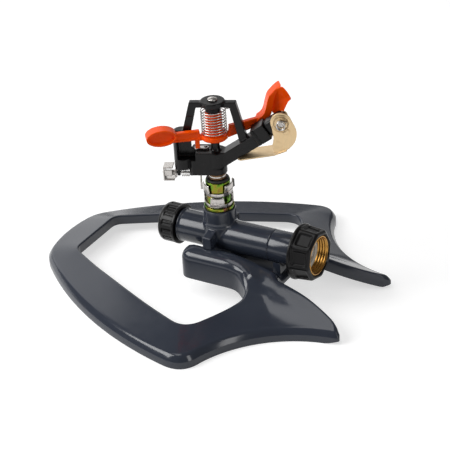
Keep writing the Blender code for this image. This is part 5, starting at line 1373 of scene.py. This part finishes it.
# Edges of the arm's web and of its tail's, as (distance from the axis, height)
ARM_UPPER = [(0.0050, 0.1262), (0.0102, 0.1262), (0.0108, 0.1316), (0.0180, 0.1326),
             (0.0253, 0.1338), (0.0328, 0.1350), (0.0362, 0.1372), (0.0381, 0.1408),
             (0.0396, 0.1463), (0.0417, 0.1520), (0.0466, 0.1570), (0.0498, 0.1592)]
ARM_LOWER = [(0.0050, 0.1222), (0.0102, 0.1222), (0.0180, 0.1244), (0.0260, 0.1266),
             (0.0298, 0.1279), (0.0345, 0.1298), (0.0390, 0.1330), (0.0424, 0.1370),
             (0.0436, 0.1424), (0.0447, 0.1467), (0.0464, 0.1538), (0.0510, 0.1594)]
TAIL_UPPER = [(-0.0050, 0.1262), (-0.0106, 0.1262), (-0.0112, 0.1304), (-0.0317, 0.1302)]
TAIL_LOWER = [(-0.0050, 0.1222), (-0.0102, 0.1222), (-0.0162, 0.1228), (-0.0317, 0.1232)]
RIB_WIDTH = 0.0016
RIB_HALF = 0.0019

# Curled vane, as (distance from the axis, lower height, upper height)
VANE = [(0.0436, 0.1375, 0.1515), (0.0465, 0.1352, 0.1555), (0.0490, 0.1354, 0.1586),
        (0.0513, 0.1380, 0.1592), (0.0532, 0.1432, 0.1575), (0.0550, 0.1476, 0.1548),
        (0.0566, 0.1499, 0.1515)]


def rib_along(edge, towards):
    """Rib of even width along an edge of the arm's web."""
    inner = [(u, z + towards * RIB_WIDTH) for u, z in edge]
    return side_prism(list(edge) + inner[::-1], -RIB_HALF, RIB_HALF)


def vane_shape():
    """Curled vane beside the top of the arm."""
    low_edge = smooth_path([(u, low) for u, low, _ in VANE])
    high_edge = smooth_path([(u, high) for u, _, high in VANE])
    first, last, wall, steps = VANE[0][0], VANE[-1][0], 0.0018, 4
    shape = bmesh.new()
    near, far = [], []
    for (u, low), (_, high) in zip(low_edge, high_edge):
        t = min(1.0, max(0.0, (u - first) / (last - first)))
        bend = 0.0082 * t ** 1.8
        for grid, offset in ((near, -wall / 2), (far, wall / 2)):
            row = []
            for k in range(steps + 1):
                s = k / steps
                cup, lean = 0.0016 * math.sin(math.pi * s), 0.0030 * s * t ** 0.5
                row.append(shape.verts.new((u, offset - bend + cup - lean,
                                            low + (high - low) * s)))
            grid.append(row)
    sheet_between(shape, near, far)
    return shape


class SPRINKLER_OT_arm(bpy.types.Operator):
    """Mould the impact arm with its counterweight and spoon"""

    bl_idname = "sprinkler.arm"
    bl_label = "Impact arm"

    def execute(self, context):
        flange = HUB_SEAT - 0.0040
        hub = lathe([(0, flange), (0.0092, flange), (0.0102, flange + 0.0010),
                     (0.0102, HUB_SEAT), (0.0062, HUB_SEAT), (0.0062, HUB_TOP), (0, HUB_TOP)],
                    96)
        parts = [hub]
        for upper, lower, high_count, low_count in ((ARM_UPPER, ARM_LOWER, 7, 6),
                                                    (TAIL_UPPER, TAIL_LOWER, 4, 4)):
            parts.append(side_prism(lower + upper[::-1], -0.0012, 0.0012))
            parts.append(rib_along(upper[:high_count], -1))
            parts.append(rib_along(lower[:low_count], 1))
        neck_low, neck_high = smooth_path(ARM_LOWER[4:]), smooth_path(ARM_UPPER[5:])
        limb = side_prism(neck_low + neck_high[::-1], -0.0030, 0.0062)
        caps = [face for face in limb.faces if len(face.verts) > 4]
        bevelled(limb, 0.0020, 4, list({edge for face in caps for edge in face.edges}))
        at_weight = Matrix.Translation((-WEIGHT_REACH, 0, WEIGHT_HEIGHT))
        weight = side_prism(around((0, 0), (0.0113, 0.0064), 0, 360, 64)[:-1], -0.0048, 0.0048)
        tab = box((0.0034, 0.0034, 0.0082), (-0.0132, 0, HUB_SEAT - 0.0061))
        parts += [limb, vane_shape(), (weight, at_weight), tab]
        cuts = []
        dish = around((0, 0), (0.0097, 0.0048), 0, 360, 64)[:-1]
        for side in (-1, 1):
            near, far = sorted((side * 0.0022, side * 0.0070))
            cuts.append((side_prism(dish, near, far), at_weight))
        cuts.append(rod(0.0023, flange - 0.01, HUB_TOP + 0.01))
        mesh = moulded(parts, cuts, 0.00030, 4)
        finish_piece("arm_moulding", mesh, ARM, "orange", "arm", "impact_arm", 70.0)
        return {"FINISHED"}


# Springs and wires

def tube_mesh(points, radius, sides=10):
    """Round wire along a path, with closed ends."""
    curve = bpy.data.curves.new("work", "CURVE")
    curve.dimensions = "3D"
    curve.bevel_depth = radius
    curve.bevel_resolution = sides // 2 - 1
    curve.use_fill_caps = True
    spline = curve.splines.new("POLY")
    spline.points.add(len(points) - 1)
    for target, point in zip(spline.points, points):
        target.co = (*point, 1.0)
    made = bpy.data.objects.new("work", curve)
    bpy.context.scene.collection.objects.link(made)
    mesh = evaluated_mesh(made)
    shape = bmesh.new()
    shape.from_mesh(mesh)
    bmesh.ops.remove_doubles(shape, verts=shape.verts, dist=1e-6)
    return shape


def coil(radius, low, high, turns, start_angle=0.0, per_turn=32):
    """Points along a helix of even pitch from one end to the other."""
    count = int(turns * per_turn)
    points = []
    for i in range(count + 1):
        t = i / count
        angle = math.radians(start_angle) + math.tau * turns * t
        points.append((radius * math.cos(angle), radius * math.sin(angle), low + (high - low) * t))
    return points


class SPRINKLER_OT_springs(bpy.types.Operator):
    """Wind the arm spring, the deflector spring and the trip spring"""

    bl_idname = "sprinkler.springs"
    bl_label = "Springs"

    def execute(self, context):
        sizes = settings("head")
        wire = sizes.spring_wire
        low, high = HUB_SEAT + SEAT_GAP + wire, DISC_TOP - 0.0069
        points = [Vector(p) for p in coil(0.0093, low, high, sizes.spring_turns)]
        tail = points[0] + Vector((0, -2.2 * wire, 0))
        last = points[-1]
        hook = curved([last, last + Vector((0.0008, 0.0002, 0)),
                       last + Vector((0.0024, 0.0002, 0))], 5)
        spring = tube_mesh([tail] + points + hook[1:], wire, 12)
        finish_piece("arm_spring_wire", spring, HEAD, "wire", "head", "arm_spring", 60.0)
        self.deflector_spring()
        self.trip_spring()
        return {"FINISHED"}

    @staticmethod
    def deflector_spring():
        """The small spring outside the deflector's near ear."""
        wire, radius = 0.00035, 0.0031
        near = 0.0079 + SEAT_GAP + wire
        pitch = 2 * wire + 0.0005
        points = [Vector(p) for p in coil(radius, near, near + 3 * pitch, 3, 60)]
        lead = points[0] + (points[0] - points[3]).normalized() * 0.0030
        lead.z = points[0].z
        out = points[-1] + Vector((points[-1].x, points[-1].y, 0)).normalized() * 0.0014
        spring = tube_mesh([lead] + points + [out], wire, 10)
        finish_piece("deflector_spring_wire", spring, PIVOT @ ALONG_Y, "wire", "deflector",
                     "deflector_spring", 60.0)

    @staticmethod
    def trip_spring():
        """The spring between the two eyes that the trip wire turns in."""
        wire = 0.00032
        low = -OUTER_EYE + HALF_EYE + SEAT_GAP + wire
        high = -INNER_EYE - HALF_EYE - SEAT_GAP - wire
        points = [Vector(p) for p in coil(0.0030, low, high, 4, 90)]
        lead, out = points[0] + Vector((0, -0.0010, 0)), points[-1] + Vector((0, 0.0010, 0))
        route = [Vector((p.z, p.y, -p.x)) for p in [lead] + points + [out]]
        spring = tube_mesh(route, wire, 10)
        place = HEAD @ Matrix.Translation((0, 0, TRIP_HEIGHT))
        finish_piece("trip_spring_wire", spring, place, "wire", "head", "trip_spring", 60.0)


# Deflector

def ear_outline():
    """The near ear: a round top, a bulged front edge and a waisted back edge."""
    points = around((0, 0.0012), (0.0079, 0.0079), 205, 35, 24)
    front = [(0.0105, -0.0036), (0.0110, -0.0092), (0.0093, -0.0150), (0.0053, -0.0198),
             (0.0035, -0.0208)]
    points += smooth_path([points[-1]] + front, 5)[1:]
    points += [(-0.0060, -0.0232)]
    return points + smooth_path([(-0.0069, -0.0165), (-0.0060, -0.0112), (-0.0066, -0.0058)], 5)


def small_ear_outline():
    """The far ear, a plain strap round its stud."""
    return around((0, 0), (0.0036, 0.0036), 200, 10, 18) + [
        (0.0040, -0.0090), (0.0035, -0.0208), (-0.0060, -0.0232), (-0.0050, -0.0150)]


class SPRINKLER_OT_deflector(bpy.types.Operator):
    """Press the deflector and turn its two studs"""

    bl_idname = "sprinkler.deflector"
    bl_label = "Deflector"

    def execute(self, context):
        wall, off = 0.0010, 0.0069
        near = side_prism(ear_outline(), -off - wall, -off)
        far = side_prism(small_ear_outline(), off, off + wall)
        front, drop, bend, bend_drop, back, end_drop = (0.0035, 0.0208, 0.0060, 0.0244, 0.0334,
                                                        0.0296)
        sheet = [(front, -drop - wall * 0.6), (front, -drop + wall * 0.4),
                 (-bend, -bend_drop + wall * 0.4), (-back, -end_drop + wall),
                 (-back, -end_drop), (-bend, -bend_drop - wall * 0.6)]
        sheet = side_prism(sheet, -0.0094, 0.0077)
        corners = []
        for side in (-1, 1):
            corner = [(-back - 0.002, side * 0.0047), (-back + 0.0044, side * 0.0117),
                      (-back - 0.002, side * 0.0117)]
            corners.append(prism(corner, -0.040, -0.022))
        hole = rod(0.00165, -0.02, 0.02)
        button = rod(0.0026, off + wall / 2, off + wall + 0.0009, 48)
        at_button = Matrix.Translation((0.0033, 0, -0.0056)) @ ALONG_Y
        mesh = moulded([near, far, sheet, (button, at_button)],
                       [joined(*corners), (hole, ALONG_Y)], 0.00022, 3)
        self.press(mesh, off + wall)
        finish_piece("deflector_pressing", mesh, PIVOT, "gold", "deflector", "deflector_flap", 70.0)
        for side, name in ((-1, "deflector_stud_near"), (1, "deflector_stud_far")):
            outside = off + wall + 0.0004
            section = [(0, 0.0047), (0.0016, 0.0047), (0.0016, outside), (0.0026, outside),
                       (0.0026, outside + 0.0005), (0.0021, outside + 0.0009),
                       (0.0012, outside + 0.0009), (0.0010, outside + 0.0006),
                       (0, outside + 0.0006)]
            turn = Matrix.Rotation(math.radians(-90 * side), 4, "X")
            finish_piece(f"{name}_rivet", lathe(rounded(section, 0.0001, 2), 48), PIVOT @ turn,
                         "steel", "head", name)
        return {"FINISHED"}

    @staticmethod
    def press(mesh, outside):
        """Raise the ring and sink the dimple that the die leaves in the near side."""
        count = len(mesh.vertices)
        flat = np.empty(count * 3)
        mesh.vertices.foreach_get("co", flat)
        points = flat.reshape(-1, 3)
        near = points[:, 1] < -outside + 0.0014
        dent = np.hypot(points[:, 0], points[:, 2] - 0.0008)
        lift = -0.0010 * np.exp(-((dent - 0.0060) / 0.0008) ** 2)
        foot = np.hypot(points[:, 0] + 0.0030, points[:, 2] + 0.0165)
        lift += 0.00045 * np.clip(1 - (foot / 0.0032) ** 2, 0, 1)
        points[:, 1] += np.where(near, lift * 0.6, 0.0)
        mesh.vertices.foreach_set("co", points.ravel())
        mesh.update()


# Trip mechanism

class SPRINKLER_OT_trip(bpy.types.Operator):
    """Bend the trip wire and press the lever and the dog"""

    bl_idname = "sprinkler.trip"
    bl_label = "Trip mechanism"

    def execute(self, context):
        height, reach, inner, bend = TRIP_HEIGHT, TRIP_REACH, 0.0125, 0.0016
        route = [(-reach - 0.0010, height), (-OUTER_EYE, height), (-INNER_EYE, height)]
        route += around((-inner - bend, height - bend), (bend, bend), 90, 0, 8)
        route.append((-inner, height - 0.0141))
        wire = tube_mesh([(x, 0, z) for x, z in route], 0.0008, 12)
        finish_piece("trip_wire_rod", wire, HEAD, "wire", "trip", "trip_wire", 60.0)
        self.make_lever(height, reach)
        self.make_dog()
        return {"FINISHED"}

    @staticmethod
    def make_lever(height, reach):
        """The bent channel outside the column, with its disc, sleeve and tongue."""
        wall, outer = 0.0010, -reach
        inner = outer + 0.0085
        low, high = height - 0.0048, height + 0.0062
        channel = [(outer, low), (inner, low), (inner, low + wall), (outer + wall, low + wall),
                   (outer + wall, high - wall), (inner - 0.001, high - wall),
                   (inner - 0.001, high), (outer, high)]
        lever = side_prism(channel, -0.0048, 0.0048)
        face = -OUTER_EYE - HALF_EYE - 0.0004
        disc = rod(0.0040, face - 0.0012, face, 64)
        sleeve = rod(0.0020, outer + wall / 2, face - 0.0005, 48)
        tongue = box((0.0060, 0.0010, 0.0052), (outer + 0.0036, -0.0036, height + 0.0012))
        hole = rod(0.00095, outer - 0.01, face + 0.01, 32)
        line = Matrix.Translation((0, 0, height)) @ ALONG_X
        mesh = moulded([lever, (disc, line), (sleeve, line), tongue], [(hole, line)], 0.00022, 2)
        finish_piece("trip_lever_pressing", mesh, HEAD, "steel", "trip", "trip_lever", 60.0)

    @staticmethod
    def make_dog():
        """The small rocker on the rear block."""
        low, high = heights("trip_dog")
        outline = rounded([(-0.0085, -0.0013), (-0.0015, -0.0022), (0.0010, -0.0020),
                           (0.0024, 0), (0.0010, 0.0020), (-0.0015, 0.0022),
                           (-0.0085, 0.0013)], 0.0004)
        plate = prism(outline, low, high)
        hole = rod(0.0013, low - 0.01, high + 0.01, 32)
        mesh = moulded([plate], [hole], 0.00016, 2)
        finish_piece("trip_dog_plate", mesh, HEAD @ Matrix.Translation((-0.0070, 0, 0)), "steel",
                     "dog", "trip_dog", 60.0)


class SPRINKLER_OT_screws(bpy.types.Operator):
    """Turn the two base screws with their cross recesses"""

    bl_idname = "sprinkler.screws"
    bl_label = "Base screws"

    def execute(self, context):
        for name in ("base_screw_near", "base_screw_far"):
            middle, _ = span(name)
            low, high = heights(name)
            head = low + 0.0024
            section = [(0, low), (0.0024, low), (0.0034, low + 0.0012), (0.0034, head),
                       (0.0017, head)]
            z = head + 0.0008
            while z < high - 0.0022:
                section += [(0.0013, z), (0.0017, z + 0.0004)]
                z += 0.0010
            section += [(0.0010, high - 0.001), (0, high)]
            cross = joined(*((box((0.0034, 0.0007, 0.0020), (0, 0, low)),
                              Matrix.Rotation(turn, 4, "Z")) for turn in (0, math.pi / 2)))
            mesh = combined([lathe(section, 40)], [cross], crossing=True)
            finish_piece(f"{name}_pan", mesh, Matrix.Translation((middle.x, middle.y, 0)),
                         "steel", "base", name, 40.0)
        return {"FINISHED"}


# Studio

VIEW_CENTRE = (0.00373 + AXIS_X, 0, 0.04929)
LAMP_TARGET = (AXIS_X, 0, 0.06)

# Soft boxes: place, size and power in watts
SOFT_BOXES = {
    "key_softbox": ((-0.90, -0.80, 0.98), (0.9, 0.9), 18.0),
    "top_softbox": ((-0.25, -0.15, 1.50), (1.1, 0.5), 4.0),
    "back_softbox": ((-1.30, 0.75, 0.64), (1.5, 1.15), 6.2),
    "wing_softbox": ((-0.56, 1.39, 0.56), (1.0, 0.5), 1.0),
    "side_softbox": ((1.20, -0.35, 0.60), (0.30, 0.8), 3.0),
}


def camera_matrix(stage):
    """Place and turn of a camera that leans about its own axis."""
    az, el = stage.azimuth, stage.elevation
    back = Vector((math.sin(az) * math.cos(el), -math.cos(az) * math.cos(el), math.sin(el)))
    right = Vector((math.cos(az), math.sin(az), 0))
    up = back.cross(right)
    lean_right = right * math.cos(stage.roll) + up * math.sin(stage.roll)
    lean_up = -right * math.sin(stage.roll) + up * math.cos(stage.roll)
    place = Vector(VIEW_CENTRE) + back * stage.distance
    turn = Matrix((lean_right, lean_up, back)).transposed().to_4x4()
    return Matrix.Translation(place) @ turn


def area_light(name, place, size, power):
    """A white soft box that faces the object."""
    data = bpy.data.lights.new(name, "AREA")
    data.shape = "RECTANGLE"
    data.size, data.size_y = size
    data.energy = power
    lamp = bpy.data.objects.new(name, data)
    lamp.location = place
    facing = Vector(LAMP_TARGET) - Vector(place)
    lamp.rotation_euler = facing.to_track_quat("-Z", "Y").to_euler()
    bpy.context.scene.collection.objects.link(lamp)


def paper_sweep():
    """Matt white paper: takes the object's soft shadow and is plain white elsewhere.

    What the camera, metal and gloss see of it is lifted to white by a small glow, which
    lights nothing.
    """
    made, tree, shader = new_material("paper_sweep")
    path = node(tree, "ShaderNodeLightPath").outputs
    seen = node(tree, "ShaderNodeMath", {0: path["Is Camera Ray"], 1: path["Is Glossy Ray"]},
                operation="MAXIMUM")
    seen = node(tree, "ShaderNodeMath", {0: seen.outputs[0], 1: path["Is Transmission Ray"]},
                operation="MAXIMUM")
    glow = node(tree, "ShaderNodeMath", {0: seen.outputs[0], 1: 0.60}, operation="MULTIPLY")
    feed(tree, shader, {"Emission Strength": glow.outputs[0], "Roughness": 0.9,
                        "Emission Color": (1.0, 1.0, 1.0, 1.0), "Specular IOR Level": 0.2,
                        "Base Color": (0.56, 0.56, 0.56, 1.0)})
    return made


class SPRINKLER_OT_stage(bpy.types.Operator):
    """Set the camera, the soft boxes, the pale floor and the world"""

    bl_idname = "sprinkler.stage"
    bl_label = "Studio"

    def execute(self, context):
        stage = settings("stage")
        data = bpy.data.cameras.new("photo_camera")
        data.sensor_width = 36.0
        data.lens = stage.focal
        data.clip_start = 0.01
        camera = bpy.data.objects.new("photo_camera", data)
        camera.matrix_world = camera_matrix(stage)
        context.scene.collection.objects.link(camera)
        context.scene.camera = camera
        for name, lamp in SOFT_BOXES.items():
            area_light(name, *lamp)
        self.make_floor()
        self.make_world(context)
        context.scene.view_settings.view_transform = "Standard"
        return {"FINISHED"}

    @staticmethod
    def make_floor():
        """A wide sheet of paper just under the object."""
        floor = bmesh.new()
        bmesh.ops.create_grid(floor, x_segments=1, y_segments=1, size=20.0)
        mesh = bpy.data.meshes.new("floor")
        floor.to_mesh(mesh)
        floor.free()
        mesh.transform(Matrix.Translation((0, 0, -0.0002)))
        mesh.materials.append(paper_sweep())
        made = bpy.data.objects.new("floor", mesh)
        bpy.context.scene.collection.objects.link(made)

    @staticmethod
    def make_world(context):
        """A weak even light from all round."""
        world = context.scene.world or bpy.data.worlds.new("studio")
        context.scene.world = world
        world.use_nodes = True
        tree = world.node_tree
        tree.nodes.clear()
        plain = node(tree, "ShaderNodeBackground",
                     {"Strength": 0.18, "Color": (1.0, 1.0, 1.0, 1.0)})
        node(tree, "ShaderNodeOutputWorld", {"Surface": plain.outputs[0]})


# Add-on

GROUPS = {"sled": SledSettings, "line": HoseLineSettings, "head": HeadSettings,
          "finish": FinishSettings, "stage": StageSettings}
OPERATORS = (SPRINKLER_OT_sled, SPRINKLER_OT_manifold, SPRINKLER_OT_end_cap,
             SPRINKLER_OT_coupling, SPRINKLER_OT_bearing, SPRINKLER_OT_collars,
             SPRINKLER_OT_body, SPRINKLER_OT_arm, SPRINKLER_OT_springs,
             SPRINKLER_OT_deflector, SPRINKLER_OT_trip, SPRINKLER_OT_screws,
             SPRINKLER_OT_stage)


class SPRINKLER_PT_panel(bpy.types.Panel):
    """Lists the sprinkler's pieces and their sizes"""

    bl_idname = "SPRINKLER_PT_panel"
    bl_label = "Impulse Sprinkler"
    bl_space_type = "VIEW_3D"
    bl_region_type = "UI"
    bl_category = "Sprinkler"

    def draw(self, context):
        for key, group in GROUPS.items():
            column = self.layout.column(align=True)
            column.label(text=key.capitalize())
            for name in group.__annotations__:
                column.prop(settings(key), name)
        for operator in OPERATORS:
            self.layout.operator(operator.bl_idname)


def register():
    """Register the settings, the operators and the panel."""
    for key, group in GROUPS.items():
        bpy.utils.register_class(group)
        setattr(bpy.types.Scene, "sprinkler_" + key, PointerProperty(type=group))
    for cls in (*OPERATORS, SPRINKLER_PT_panel):
        bpy.utils.register_class(cls)


def unregister():
    """Remove them again, in the opposite order."""
    for cls in (SPRINKLER_PT_panel, *reversed(OPERATORS)):
        bpy.utils.unregister_class(cls)
    for key, group in reversed(GROUPS.items()):
        delattr(bpy.types.Scene, "sprinkler_" + key)
        bpy.utils.unregister_class(group)


def main():
    """Make every piece and the studio."""
    register()
    make_finishes()
    for operator in OPERATORS:
        family, name = operator.bl_idname.split(".")
        getattr(getattr(bpy.ops, family), name)()


if __name__ == "__main__":
    main()
